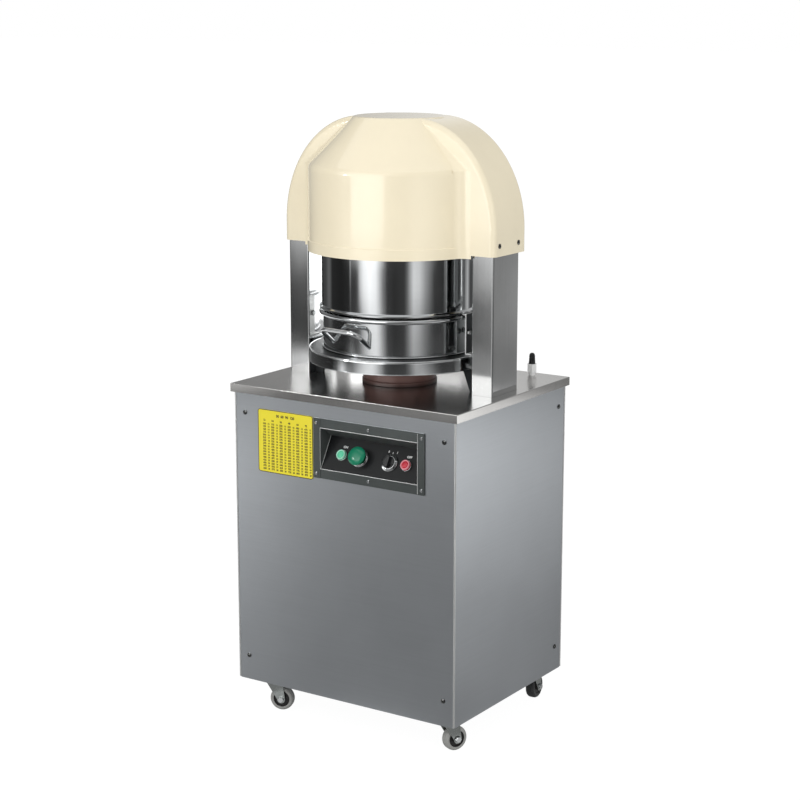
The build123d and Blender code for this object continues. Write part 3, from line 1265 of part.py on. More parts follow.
# Casters
race_bottom = CABINET_BOTTOM - CASTER_PLATE - CASTER_RACE
crown_top = race_bottom - SWIVEL_GAP
crown_bottom = crown_top - FORK_CROWN
pin_head_top = crown_bottom - SWIVEL_GAP

with BuildPart() as caster_plates:
    for x_side, y_side, heading in CASTER_HEADINGS.values():
        swivel = (x_side * CASTER_X, y_side * CASTER_Y)
        with BuildSketch(Plane(origin=(*swivel, CABINET_BOTTOM - CASTER_PLATE))):
            Rectangle(*CASTER_PLATE_SIZE)
        extrude(amount=CASTER_PLATE)
        disc(Plane(origin=(*swivel, race_bottom)), CASTER_RACE_R, CASTER_RACE)
        disc(Plane(origin=(*swivel, pin_head_top)), KINGPIN_R, race_bottom - pin_head_top)
        disc(Plane(origin=(*swivel, pin_head_top - KINGPIN_HEAD)), KINGPIN_HEAD_R, KINGPIN_HEAD)
        bolt_x = CASTER_PLATE_SIZE[0] / 2 - CASTER_BOLT_INSET
        bolt_y = CASTER_PLATE_SIZE[1] / 2 - CASTER_BOLT_INSET
        under = Plane(origin=(*swivel, CABINET_BOTTOM - CASTER_PLATE - CASTER_BOLT_HEAD))
        hexagon(
            under,
            [(x, y) for x in (-bolt_x, bolt_x) for y in (-bolt_y, bolt_y)],
            CASTER_BOLT_R,
            CASTER_BOLT_HEAD,
        )
keep(caster_plates, "caster_plates")

for corner, (x_side, y_side, heading) in CASTER_HEADINGS.items():
    swivel = (x_side * CASTER_X, y_side * CASTER_Y, 0)
    trail = (cos(radians(heading)), sin(radians(heading)), 0)
    across = (trail[1], -trail[0], 0)
    middle_plane = Plane(origin=swivel, x_dir=trail, z_dir=across)

    with BuildPart() as fork:
        disc(Plane(origin=(*swivel[:2], crown_bottom)), FORK_CROWN_R, FORK_CROWN)
        for start in (FORK_GAP / 2, -FORK_GAP / 2 - FORK_SHEET):
            with BuildSketch(middle_plane.offset(start)):
                Polygon(
                    (-FORK_EYE_R, crown_top),
                    (-FORK_EYE_R, crown_bottom),
                    (CASTER_TRAIL - FORK_EYE_R, WHEEL_R),
                    (CASTER_TRAIL + FORK_EYE_R, WHEEL_R),
                    (FORK_REAR, crown_bottom),
                    (FORK_EYE_R, crown_bottom),
                    (FORK_EYE_R, crown_top),
                    align=None,
                )
                with Locations((CASTER_TRAIL, WHEEL_R)):
                    Circle(FORK_EYE_R)
            extrude(amount=FORK_SHEET)
        disc(
            Plane(origin=(*swivel[:2], crown_bottom)),
            KINGPIN_R + RUNNING_FIT,
            FORK_CROWN,
            mode=Mode.SUBTRACT,
        )
        axle_half = FORK_GAP / 2 + FORK_SHEET
        with BuildSketch(middle_plane.offset(-axle_half)):
            with Locations((CASTER_TRAIL, WHEEL_R)):
                Circle(AXLE_R)
        extrude(amount=2 * axle_half)
        for start in (axle_half, -axle_half - AXLE_HEAD):
            hexagon(middle_plane.offset(start), [(CASTER_TRAIL, WHEEL_R)], AXLE_HEAD_R, AXLE_HEAD)
    keep(fork, f"caster_fork_{corner}")

    with BuildPart() as wheel:
        with BuildSketch(middle_plane.offset(-HUB_WIDTH / 2)):
            with Locations((CASTER_TRAIL, WHEEL_R)):
                Circle(HUB_R)
        extrude(amount=HUB_WIDTH)
        with BuildSketch(middle_plane.offset(-WHEEL_WIDTH / 2)):
            with Locations((CASTER_TRAIL, WHEEL_R)):
                Circle(WHEEL_R)
        extrude(amount=WHEEL_WIDTH)
        rims = wheel.edges().filter_by(GeomType.CIRCLE).group_by(SortBy.RADIUS)[-1]
        fillet(rims, radius=TYRE_EDGE)
        with BuildSketch(middle_plane.offset(-HUB_WIDTH / 2)):
            with Locations((CASTER_TRAIL, WHEEL_R)):
                Circle(AXLE_R + RUNNING_FIT)
        extrude(amount=HUB_WIDTH, mode=Mode.SUBTRACT)
    keep(wheel, f"caster_wheel_{corner}")
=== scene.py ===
import json
import math

import bmesh
import bpy
from mathutils import Matrix, Vector

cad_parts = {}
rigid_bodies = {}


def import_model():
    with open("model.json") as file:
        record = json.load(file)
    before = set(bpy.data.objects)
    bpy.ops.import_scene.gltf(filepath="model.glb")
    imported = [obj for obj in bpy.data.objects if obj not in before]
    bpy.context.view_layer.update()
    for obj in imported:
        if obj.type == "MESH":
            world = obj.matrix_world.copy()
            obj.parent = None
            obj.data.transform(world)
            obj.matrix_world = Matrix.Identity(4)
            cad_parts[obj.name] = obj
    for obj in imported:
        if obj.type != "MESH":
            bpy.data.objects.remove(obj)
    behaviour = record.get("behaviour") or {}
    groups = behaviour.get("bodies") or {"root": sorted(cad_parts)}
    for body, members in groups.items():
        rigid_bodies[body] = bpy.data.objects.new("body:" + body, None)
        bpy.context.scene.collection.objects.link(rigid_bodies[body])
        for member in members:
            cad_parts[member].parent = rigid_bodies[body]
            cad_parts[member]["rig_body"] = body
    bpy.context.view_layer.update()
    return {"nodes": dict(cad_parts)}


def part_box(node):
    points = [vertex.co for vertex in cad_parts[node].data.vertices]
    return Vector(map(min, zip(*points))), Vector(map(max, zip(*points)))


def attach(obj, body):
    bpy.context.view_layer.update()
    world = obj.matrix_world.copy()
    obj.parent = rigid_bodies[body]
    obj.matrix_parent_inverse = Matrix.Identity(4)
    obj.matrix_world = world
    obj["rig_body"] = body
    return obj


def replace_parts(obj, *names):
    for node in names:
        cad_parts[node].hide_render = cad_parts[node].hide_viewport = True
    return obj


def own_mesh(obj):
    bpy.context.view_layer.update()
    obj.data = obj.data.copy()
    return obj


# Dough divider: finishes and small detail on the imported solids, in metres, with the front facing -Y.

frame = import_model()

# Directions
RIGHT = Vector((1.0, 0.0, 0.0))
UP = Vector((0.0, 0.0, 1.0))
DOWN = Vector((0.0, 0.0, -1.0))

# Places that the solids give: cabinet, head, seat and hood
CABINET_X = 0.273
CABINET_Y = 0.219
PANEL_SCREW_INSET = 0.026
PANEL_SCREW_LEVELS = (0.129, 0.6645)
FOLD_X = 0.2722
FOLD_Y = 0.2182
FOLD_LOW = 0.0765
FOLD_HIGH = 0.705
FOLD_HIGHLIGHT_R = 0.0021
HEAD_AXIS = Vector((0.0, -0.006, 0.0))
PEDESTAL_FOOT = 0.7245
PEDESTAL_BOLT_R = 0.0757
PEDESTAL_BOLT_Z = 0.7585
PEDESTAL_BOLT_TURN = -29
KEEPER_INNER_X = 0.1715
KEEPER_OUTER_X = 0.1745
KEEPER_BOLTS_Y = (-0.015, 0.003)
KEEPER_BOLT_Z = 0.846
HOOD_SIDE_X = 0.2595
HOOD_SPACER_X = 0.2535
HOOD_SCREWS_Y = (-0.037, 0.037)
HOOD_SCREW_Z = 1.031
GLAND_TOP = Vector((0.2044, 0.1965, 0.7495))

# Places that the solids give: control recess and chart
BEZEL_X = 0.067
BEZEL_Z = 0.613
BEZEL_FRONT = -0.221
BEZEL_RIM_FRONT = -0.2218
BEZEL_EDGE_FRONT = -0.2211
BEZEL_SCREW_X = 0.1285
BEZEL_SCREW_Z = 0.053
BEZEL_LOW = 0.5515
BEZEL_HIGH = 0.6745
POCKET_LEFT = -0.052
POCKET_RIGHT = 0.186
POCKET_LOW = 0.570
POCKET_HIGH = 0.656
POCKET_ROOF = Vector((0.0, -0.52, -0.86))
CONTROL_RISE = 0.035
CONTROL_TILT = math.radians(31.0)
CONTROL_ROW = Vector((
    BEZEL_X,
    BEZEL_FRONT + CONTROL_RISE * math.sin(CONTROL_TILT),
    POCKET_LOW + CONTROL_RISE * math.cos(CONTROL_TILT),
))
CONTROL_OUT = Vector((0.0, -math.cos(CONTROL_TILT), math.sin(CONTROL_TILT)))
CONTROL_UP = Vector((0.0, math.sin(CONTROL_TILT), math.cos(CONTROL_TILT)))
GREEN_LAMP_X = -0.076
START_X = -0.031
SELECTOR_X = 0.041
RED_LAMP_X = 0.081
CHART_MIDDLE = Vector((-0.142, -0.220, 0.6105))

# Places that the solids give: casters, as x, y and heading in degrees
CASTERS = {
    "front_left": (-0.222, -0.175, 20.0),
    "front_right": (0.222, -0.175, 65.0),
    "rear_left": (-0.222, 0.175, 40.0),
    "rear_right": (0.222, 0.175, 95.0),
}
CASTER_TRAIL = 0.025
WHEEL_R = 0.026
AXLE_END = 0.01375


# Small tools

def linear(code):
    """Linear colour of an sRGB hex value."""
    shares = [int(code[i:i + 2], 16) / 255 for i in (1, 3, 5)]
    return [c / 12.92 if c <= 0.04045 else ((c + 0.055) / 1.055) ** 2.4 for c in shares] + [1.0]


WHITE = linear("#FFFFFF")


def put(tree, kind, inputs=None, stops=None, **settings):
    """Adds a node with its settings. An input is a value, or a socket to link."""
    made = tree.nodes.new(kind)
    for name, value in settings.items():
        setattr(made, name, value)
    for key, value in (inputs or {}).items():
        if isinstance(value, bpy.types.NodeSocket):
            tree.links.new(value, made.inputs[key])
        else:
            made.inputs[key].default_value = value
    if stops:
        ramp = made.color_ramp
        while len(ramp.elements) < len(stops):
            ramp.elements.new(1.0)
        for element, (place, colour) in zip(ramp.elements, stops):
            element.position = place
            element.color = colour
    return made


def start_material(name, **sockets):
    """A principled material with plain values on its sockets, and the place on the piece to draw by."""
    material = bpy.data.materials.new(name)
    material.use_nodes = True
    tree = material.node_tree
    shader = tree.nodes["Principled BSDF"]
    for socket, value in sockets.items():
        shader.inputs[socket.replace("_", " ")].default_value = value
    place = put(tree, "ShaderNodeTexCoord").outputs["Object"]
    return material, tree, shader, place


def draw_surface(tree, shader, colour, tone, shading, wear, relief):
    """Lets patterns shift the colour, change the roughness and raise the surface. Shading is a socket and its
    range, wear a socket and the roughness at its ends, relief a socket with its strength and depth."""
    base = linear(colour)[:3]
    dark = [c * (1 - 2 * tone) for c in base] + [1.0]
    light = [min(1.0, c * (1 + 2 * tone)) for c in base] + [1.0]
    pattern, low, high = shading
    shade = put(tree, "ShaderNodeValToRGB", {"Fac": pattern}, stops=[(low, dark), (high, light)])
    tree.links.new(shade.outputs["Color"], shader.inputs["Base Color"])
    pattern, smooth, rough = wear
    worn = put(
        tree,
        "ShaderNodeMapRange",
        {"Value": pattern, "From Min": 0.1, "From Max": 0.9, "To Min": smooth, "To Max": rough},
    )
    tree.links.new(worn.outputs["Result"], shader.inputs["Roughness"])
    pattern, strength, depth = relief
    raised = put(tree, "ShaderNodeBump", {"Strength": strength, "Distance": depth, "Height": pattern})
    tree.links.new(raised.outputs["Normal"], shader.inputs["Normal"])


GRAIN_DEPTH = 0.0002


def bare_metal(name, colour, rough, grain_mm, tone=0.10, bump=0.10, smudge=0.06):
    """Bare metal with a directed grain: grain_mm is how long the grain is along X, Y and Z."""
    material, tree, shader, place = start_material(name, Metallic=1.0)
    along = put(tree, "ShaderNodeMapping", {"Vector": place, "Scale": [1000 / g for g in grain_mm]})
    settings = {"Vector": along.outputs[0], "Scale": 1.0, "Detail": 5.0, "Roughness": 0.7}
    grain = put(tree, "ShaderNodeTexNoise", settings).outputs["Fac"]
    settings = {"Vector": place, "Scale": 7.0, "Detail": 4.0, "Roughness": 0.6}
    cloud = put(tree, "ShaderNodeTexNoise", settings).outputs["Fac"]
    mixed = put(tree, "ShaderNodeMath", {0: cloud, 1: grain}, operation="ADD").outputs[0]
    half = put(tree, "ShaderNodeMath", {0: mixed, 1: 0.5}, operation="MULTIPLY").outputs[0]
    wear = (cloud, rough - smudge, rough + smudge)
    draw_surface(tree, shader, colour, tone, (half, 0.2, 0.8), wear, (grain, bump, GRAIN_DEPTH))
    return material


def coated(name, colour, rough, pattern_mm, tone=0.05, bump=0.08, depth_mm=0.05, **sockets):
    """Paint, plastic or rubber with a fine skin: pattern_mm is the size of its specks or orange peel."""
    material, tree, shader, place = start_material(name, **sockets)
    settings = {"Vector": place, "Scale": 1000 / pattern_mm, "Detail": 3.0}
    skin = put(tree, "ShaderNodeTexNoise", settings).outputs["Fac"]
    settings = {"Vector": place, "Scale": 9.0, "Detail": 4.0, "Roughness": 0.6}
    cloud = put(tree, "ShaderNodeTexNoise", settings).outputs["Fac"]
    wear = (cloud, rough * 0.7, rough * 1.3)
    draw_surface(tree, shader, colour, tone, (cloud, 0.1, 0.9), wear, (skin, bump, depth_mm / 1000))
    return material


def painted_shade_at_foot(finish, low, high, share):
    """Paints shade on a paint, growing darker towards its foot."""
    tree = finish.node_tree
    shader = tree.nodes["Principled BSDF"]
    paint = shader.inputs["Base Color"].links[0].from_socket
    place = put(tree, "ShaderNodeTexCoord").outputs["Object"]
    height = put(tree, "ShaderNodeSeparateXYZ", {"Vector": place}).outputs["Z"]
    left = put(
        tree,
        "ShaderNodeMapRange",
        {"Value": height, "From Min": low, "From Max": high, "To Min": share, "To Max": 1.0},
    ).outputs[0]
    # the paint's colour is scaled down towards the foot as painted shade
    dimmed = put(tree, "ShaderNodeVectorMath", {"Vector": paint, "Scale": left}, operation="SCALE")
    tree.links.new(dimmed.outputs[0], shader.inputs["Base Color"])
    return finish


# Finishes

# Fibreglass with a glossy cream gelcoat: broad soft highlights, a faint ripple from the mould.
GELCOAT = coated("cream_gelcoat", "#F2E7CB", 0.16, 45.0, tone=0.02, bump=0.25, depth_mm=0.25, IOR=1.5,
                 Coat_Weight=0.35, Coat_Roughness=0.06)
# Stainless sheet, brushed level on a belt: dull grey with fine level lines, drawn coarser than the real
# 0.2 mm.
PANEL_STEEL = bare_metal("brushed_stainless_panel", "#B7BBBF", 0.292, (260.0, 260.0, 4.5), tone=0.035,
                         bump=0.003, smudge=0.012)
# Stainless sheet, brushed and then buffed, on the table's folded edge.
TABLE_STEEL = bare_metal("buffed_stainless_edge", "#BDBCBA", 0.12, (120.0, 1.6, 120.0), tone=0.05,
                         bump=0.01)
# The same sheet where work has dulled it: the table top mirrors what stands on it, more blurred further up.
WORKED_STEEL = bare_metal("worn_stainless_table", "#BDBCBA", 0.225, (120.0, 1.6, 120.0), tone=0.05,
                          bump=0.01, smudge=0.02)
# Stainless box tube, brushed upright.
COLUMN_STEEL = bare_metal("brushed_stainless_column", "#C6C7C7", 0.09, (1.6, 1.6, 260.0), tone=0.06,
                          bump=0.003)
# Stainless steel spun to a drum and polished: mirrors in upright bands, with fine level turning lines.
POLISHED_STEEL = bare_metal("polished_stainless", "#CDCFD0", 0.08, (90.0, 90.0, 0.9), tone=0.04, bump=0.003,
                            smudge=0.03)
# Stainless sheet of the pan, spun and polished, then dulled a little by washing.
PAN_STEEL = bare_metal("washed_stainless_pan", "#CDCFD0", 0.11, (90.0, 90.0, 0.9), tone=0.04, bump=0.004,
                       smudge=0.04)
# Chrome plate on collars, rims and the pan's handle: bright, clean and even.
CHROME = bare_metal("chrome_plate", "#D6D8D9", 0.06, (6.0, 6.0, 6.0), tone=0.03, bump=0.02, smudge=0.03)
# Stainless sheet left with its darker satin mill finish, on the frame of the control recess.
BEZEL_STEEL = bare_metal("satin_stainless_bezel", "#656A69", 0.34, (60.0, 60.0, 1.4), tone=0.10, bump=0.06)
# Painted light in the recess: a soft grey on the bezel's faces that look to the right and on the roof, a
# little uneven.
POCKET_PAINTED_LIGHT = coated("grey_painted_light_in_recess", "#444847", 0.35, 3.0, tone=0.10, bump=0.15)
# Stainless sheet with a dull face, painted dark as shade: on the seat's top, where the pan slides on it, and
# on the keepers' faces that look to the right.
SHADED_STAINLESS = bare_metal("stainless_painted_shade", "#414345", 0.37, (40.0, 1.5, 40.0), tone=0.10, bump=0.06)
# Oiled steel of the small screws: dark flanks round a crown with a bright glint.
SCREW_STEEL = bare_metal("oiled_steel_screw", "#5E5F5E", 0.14, (3.0, 3.0, 3.0), tone=0.12, bump=0.03)
# Bright zinc on the keepers: pale and matt. The same zinc on thin rods along the cabinet's folded corners,
# the recess's edges and the control plate's left edge is painted highlight, so that they stand out against
# mirror-bright steel.
ZINC_AND_HIGHLIGHT = bare_metal("pale_zinc_and_painted_highlight", "#E6E7E6", 0.45, (4.0, 4.0, 4.0), tone=0.06, bump=0.03)
# Zinc plate on the pressed forks: greyer, with the soft shine of plating over drawn steel.
FORK_ZINC = bare_metal("zinc_plated_fork", "#AEB2B0", 0.15, (5.0, 5.0, 5.0), tone=0.12, bump=0.04)
# Zinc plate on pressed steel: pale, slightly cloudy.
ZINC = bare_metal("zinc_plate", "#A9ABAA", 0.22, (5.0, 5.0, 5.0), tone=0.12, bump=0.05)
# Ground and oiled machine steel of shafts, gears, racks and springs: a soft grey shine.
MACHINED_STEEL = bare_metal("ground_steel", "#A3A5A6", 0.25, (14.0, 14.0, 1.2), tone=0.08, bump=0.05)
# Hot-dip galvanised sheet: cloudy spangles some 12 mm wide.
GALVANISED = bare_metal("galvanised_sheet", "#9BA1A4", 0.42, (12.0, 12.0, 12.0), tone=0.16, bump=0.04)
# Cast aluminium alloy, tumbled, of press pads and rod guides: pale and matt.
CAST_ALUMINIUM = bare_metal("cast_aluminium", "#B4B5B4", 0.40, (2.5, 2.5, 2.5), tone=0.07, bump=0.10)
# Powder-coated black sheet under the controls: fine orange peel, low gloss.
CONTROL_BLACK = coated("black_powder_coat", "#0F1112", 0.45, 1.2, bump=0.08, Specular_IOR_Level=0.25)
# Moulded ABS, glossy green, of the mushroom button.
GREEN_ABS = coated("green_abs", "#17795A", 0.10, 3.0, bump=0.03, IOR=1.46)
# Acrylic lens, pale green, pressed in small waves that sparkle, lit a little from behind.
GREEN_LENS = coated("green_acrylic_lens", "#4FBE95", 0.12, 3.4, bump=0.9, depth_mm=1.2, IOR=1.49,
                    Emission_Strength=0.10, Emission_Color=linear("#63C9A4"))
# Acrylic lens, red, pressed in the same waves.
RED_LENS = coated("red_acrylic_lens", "#B41F33", 0.12, 3.4, bump=0.9, depth_mm=1.2, IOR=1.49,
                  Emission_Strength=0.06, Emission_Color=linear("#C32A3C"))
# Frosted rims of the two lenses: the same plastic, paler where it scatters the light.
GREEN_RIM = coated("frosted_green_rim", "#A6E0C9", 0.30, 1.6, tone=0.10, bump=0.30, depth_mm=0.3, IOR=1.49)
RED_RIM = coated("frosted_red_rim", "#E08E98", 0.30, 1.6, tone=0.10, bump=0.30, depth_mm=0.3, IOR=1.49)
# Moulded black nylon of the selector, the contact blocks and the gland's sleeve: low sheen, finely pitted.
BLACK_NYLON = coated("black_nylon", "#17191A", 0.42, 0.9, bump=0.10)
# White polyamide of the gland's nut: clean, with a soft sheen.
WHITE_NYLON = coated("white_nylon", "#F6F6F4", 0.36, 1.5, bump=0.06)
# White polyethylene board: soft sheen, knife-fine scratches.
WHITE_BOARD = coated("white_polyethylene", "#ECEBE4", 0.45, 1.0, bump=0.10)
# Yellow printed aluminium plate, lacquered: even, with a low gloss.
CHART_YELLOW = coated("yellow_printed_plate", "#E4D526", 0.34, 0.8, tone=0.03, bump=0.04)
# Screen-printed inks: matt, a little uneven.
BROWN_INK = coated("brown_black_ink", "#453A12", 0.55, 0.6, bump=0.05)
WHITE_INK = coated("white_ink", "#D9DBDA", 0.50, 0.6, bump=0.05)
# Red-brown enamel on the cast pedestal, dull, with painted shade growing darker towards the foot.
BROWN_ENAMEL = painted_shade_at_foot(
    coated("brown_enamel", "#8E6C65", 0.34, 2.5, tone=0.08, bump=0.10),
    PEDESTAL_FOOT,
    PEDESTAL_FOOT + 0.016,
    0.15,
)
# Dark grey enamel on the gussets and the drum's brackets: nearly no shine. On the seat's underside the same
# dark colour is painted shade.
DARK_ENAMEL_AND_SHADE = coated("dark_grey_enamel_and_painted_shade", "#232527", 0.55, 2.0, tone=0.08, bump=0.10,
                     Specular_IOR_Level=0.25)
# Grey primer on the frame and the drive's castings: matt, with a dusty grain.
GREY_PRIMER = coated("grey_primer", "#7C8183", 0.60, 2.0, tone=0.06, bump=0.15)
# Blue-grey machine enamel of the motor: half gloss, with orange peel.
MOTOR_ENAMEL = coated("blue_grey_enamel", "#4E6172", 0.40, 2.5, tone=0.05, bump=0.12)
# Rubber of the rear tyres, painted nearly black as the shade under the machine: dull, finely rough.
SHADED_REAR_TYRE = coated("black_tyre_rubber", "#2C2D2D", 0.45, 1.4, tone=0.10, bump=0.20)
# Grey thermoplastic rubber of the front tyres, scuffed on the tread.
TYRE_RUBBER = coated("grey_tyre_rubber", "#9C9C99", 0.55, 1.4, tone=0.10, bump=0.20)
# Dark moulded polypropylene of the wheel hubs: dull.
HUB_PLASTIC = coated("dark_hub_plastic", "#1A1818", 0.45, 1.4, tone=0.08, bump=0.10)


# Pieces

WELD_GAP = 2e-6
HEAD_WELD_GAP = 1e-6
NO_RADIUS = 1e-7
NO_LENGTH = 1e-6
FLAT_ANGLE = math.radians(0.4)
SAME_WAY = 0.95
ROD_SIDES = 16
BEAD_SIDES = 12


def add_piece(name, mesh, finish, body):
    """Puts a finished mesh on its body."""
    mesh.materials.clear()
    mesh.materials.append(finish)
    made = bpy.data.objects.new(name, mesh)
    bpy.context.scene.collection.objects.link(made)
    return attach(made, body)


def piece_from(work, name, finish, body):
    """Makes a piece of the shapes that are ready in work."""
    mesh = bpy.data.meshes.new(name)
    work.to_mesh(mesh)
    work.free()
    return add_piece(name, mesh, finish, body)


def soften(made, width, crease=35.0):
    """Breaks the bare edges and shades the rest smooth."""
    made.data.shade_smooth()
    made.data.set_sharp_from_angle(angle=math.radians(crease))
    if width:
        edge = made.modifiers.new("broken_edges", "BEVEL")
        edge.width = width
        edge.segments = 2
        edge.limit_method = "ANGLE"
        edge.angle_limit = math.radians(crease)
        edge.harden_normals = True
    even = made.modifiers.new("even_shading", "WEIGHTED_NORMAL")
    even.keep_sharp = True
    return made


def dressed(node, finish, edge_mm=0.0, crease=35.0, other_faces=()):
    """Stands a merged and softened copy in a solid's place. Faces that look one way may have a finish of
    their own, as (finish, direction) pairs."""
    source = frame["nodes"][node]
    work = bmesh.new()
    work.from_mesh(source.data)
    bmesh.ops.remove_doubles(work, verts=work.verts, dist=WELD_GAP)
    bmesh.ops.dissolve_limit(work, angle_limit=FLAT_ANGLE, verts=work.verts, edges=work.edges)
    made = piece_from(work, node + "_skin", finish, source["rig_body"])
    mesh = made.data
    for layer in [a.name for a in mesh.attributes if a.name in ("custom_normal", "UVMap")]:
        mesh.attributes.remove(mesh.attributes[layer])
    for other, way in other_faces:
        mesh.materials.append(other)
        for face in mesh.polygons:
            if face.normal.dot(way) > SAME_WAY:
                face.material_index = len(mesh.materials) - 1
    soften(made, edge_mm / 1000, crease)
    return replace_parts(made, node)


def eased(points, steps=4):
    """Outline of (radius, height, round) points with each rounded corner drawn as a short curve."""
    line = []
    for i, (u, v, ease) in enumerate(points):
        if not ease:
            line.append((u, v))
            continue
        corner = Vector((u, v))
        start = corner + (Vector(points[i - 1][:2]) - corner).normalized() * ease
        end = corner + (Vector(points[(i + 1) % len(points)][:2]) - corner).normalized() * ease
        for k in range(steps + 1):
            t = k / steps
            line.append(tuple((1 - t) ** 2 * start + 2 * t * (1 - t) * corner + t * t * end))
    return line


def both_halves(half):
    """The points of an outline that is alike above and below, from its lower half."""
    return half + [(radius, -height, ease) for radius, height, ease in reversed(half)]


def round_edge(radius, height, thickness):
    """Outline of a round bead that runs round a turned piece."""
    turns = [2 * math.pi * k / BEAD_SIDES for k in range(BEAD_SIDES)]
    return [(radius + thickness * math.cos(a), height + thickness * math.sin(a)) for a in turns]


def turn_on_lathe(work, outline, place, steps, closed):
    """Turns an outline of (radius, height) points into faces and puts them in their place."""
    rings = []
    made = []
    turns = [2 * math.pi * i / steps for i in range(steps)]
    for radius, height in outline:
        if radius < NO_RADIUS:
            rings.append([work.verts.new((0.0, 0.0, height))])
            continue
        rings.append([work.verts.new((radius * math.cos(a), radius * math.sin(a), height)) for a in turns])
    pairs = list(zip(rings, rings[1:]))
    if closed:
        pairs.append((rings[-1], rings[0]))
    for lower, upper in pairs:
        for i in range(steps):
            j = (i + 1) % steps
            around = ((lower, i), (lower, j), (upper, j), (upper, i))
            corners = list(dict.fromkeys(ring[k % len(ring)] for ring, k in around))
            if len(corners) > 2:
                made.append(work.faces.new(corners))
    bmesh.ops.recalc_face_normals(work, faces=made)
    bmesh.ops.transform(work, matrix=place, verts=[corner for ring in rings for corner in ring])


def turned(name, outlines, places, finish, body, steps=96, closed=False):
    """Turned pieces, an outline and a place for each, as one mesh."""
    work = bmesh.new()
    for outline, place in zip(outlines, places):
        turn_on_lathe(work, outline, place, steps, closed)
    return soften(piece_from(work, name, finish, body), 0.0, 30.0)


def rods(name, runs, radius, finish, body):
    """Straight round rods, each from one point to another, as one mesh."""
    work = bmesh.new()
    for start, end in runs:
        start, end = Vector(start), Vector(end)
        along = end - start
        turn = along.to_track_quat("Z", "Y").to_matrix().to_4x4()
        bmesh.ops.create_cone(
            work,
            segments=ROD_SIDES,
            radius1=radius,
            radius2=radius,
            depth=along.length,
            matrix=Matrix.Translation((start + end) / 2) @ turn,
            cap_ends=True,
        )
    return soften(piece_from(work, name, finish, body), 0.0, 40.0)


def facing(point, outward, up=UP):
    """Placement whose Z axis points outward from a point."""
    z = Vector(outward).normalized()
    x = up.cross(z)
    if x.length < NO_LENGTH:
        x = RIGHT.copy()
    x.normalize()
    return Matrix.Translation(point) @ Matrix((x, z.cross(x), z)).transposed().to_4x4()


RIM_SHARE = 0.45
SLOT_REACH = 1.5
HEAD_SIZES = ("Head Radius", "Crown Radius", "Head Height", "Slot Width")


def fastener_tree():
    """Heads of screws and bolts: each sits on a point and looks along that point's own direction."""
    tree = bpy.data.node_groups.new("fastener_heads", "GeometryNodeTree")
    sockets = tree.interface
    kinds = {"Places": "Geometry", "Sides": "Int"} | dict.fromkeys(HEAD_SIZES, "Float")
    kinds["Finish"] = "Material"
    for name, kind in kinds.items():
        sockets.new_socket(name, in_out="INPUT", socket_type="NodeSocket" + kind)
    sockets.new_socket("Heads", in_out="OUTPUT", socket_type="NodeSocketGeometry")
    given = put(tree, "NodeGroupInput").outputs
    sides, wide, narrow = given["Sides"], given["Head Radius"], given["Crown Radius"]
    tall, slot = given["Head Height"], given["Slot Width"]
    low = put(tree, "ShaderNodeMath", {0: tall, 1: RIM_SHARE}, operation="MULTIPLY").outputs[0]
    high = put(tree, "ShaderNodeMath", {0: tall, 1: low}, operation="SUBTRACT").outputs[0]
    rim, crown = [
        put(
            tree,
            "GeometryNodeMeshCone",
            {"Vertices": sides, "Radius Top": top, "Radius Bottom": wide, "Depth": depth},
        ).outputs[0]
        for top, depth in ((wide, low), (narrow, high))
    ]
    raised = put(tree, "ShaderNodeCombineXYZ", {"Z": low}).outputs[0]
    lifted = put(tree, "GeometryNodeTransform", {"Geometry": crown, "Translation": raised})
    joined = put(tree, "GeometryNodeMeshBoolean", {"Mesh 2": rim}, operation="UNION")
    tree.links.new(lifted.outputs[0], joined.inputs["Mesh 2"])
    whole = joined.outputs["Mesh"]
    reach = put(tree, "ShaderNodeMath", {0: narrow, 1: SLOT_REACH}, operation="MULTIPLY").outputs[0]
    sunk = put(tree, "ShaderNodeCombineXYZ", {"Z": tall}).outputs[0]
    cut = whole
    for x, y in ((reach, slot), (slot, reach)):
        size = put(tree, "ShaderNodeCombineXYZ", {"X": x, "Y": y, "Z": tall}).outputs[0]
        bar = put(tree, "GeometryNodeMeshCube", {"Size": size}).outputs[0]
        placed = put(tree, "GeometryNodeTransform", {"Geometry": bar, "Translation": sunk}).outputs[0]
        cut = put(
            tree, "GeometryNodeMeshBoolean", {"Mesh 1": cut, "Mesh 2": placed}, operation="DIFFERENCE"
        ).outputs["Mesh"]
    slotted = put(tree, "FunctionNodeCompare", {0: slot, 1: 0.0}, operation="GREATER_THAN").outputs[0]
    head = put(
        tree,
        "GeometryNodeSwitch",
        {"Switch": slotted, "False": whole, "True": cut},
        input_type="GEOMETRY",
    ).outputs[0]
    outward = put(tree, "GeometryNodeInputNamedAttribute", {"Name": "outward"}, data_type="FLOAT_VECTOR")
    turn = put(tree, "FunctionNodeAlignRotationToVector", {"Vector": outward.outputs[0]}, axis="Z")
    set_out = put(
        tree,
        "GeometryNodeInstanceOnPoints",
        {"Points": given["Places"], "Instance": head, "Rotation": turn.outputs[0]},
    ).outputs[0]
    real = put(tree, "GeometryNodeRealizeInstances", {"Geometry": set_out}).outputs[0]
    painted = put(tree, "GeometryNodeSetMaterial", {"Geometry": real, "Material": given["Finish"]})
    put(tree, "NodeGroupOutput", {"Heads": painted.outputs[0]})
    return tree


FASTENERS = fastener_tree()
DOMED_SCREW = {"sides": 20, "radius": 0.005, "crown": 0.0022, "height": 0.0026, "slot": 0.0007}
BEZEL_SCREW = {"sides": 16, "radius": 0.0034, "crown": 0.0017, "height": 0.0022, "slot": 0.0008}
HEX_BOLT = {"sides": 6, "radius": 0.006, "crown": 0.0052, "height": 0.0045}
AXLE_NUT = {"sides": 6, "radius": 0.0073, "crown": 0.0060, "height": 0.0043}
SPACER = {"sides": 24, "radius": 0.008, "crown": 0.008, "height": 0.0025}


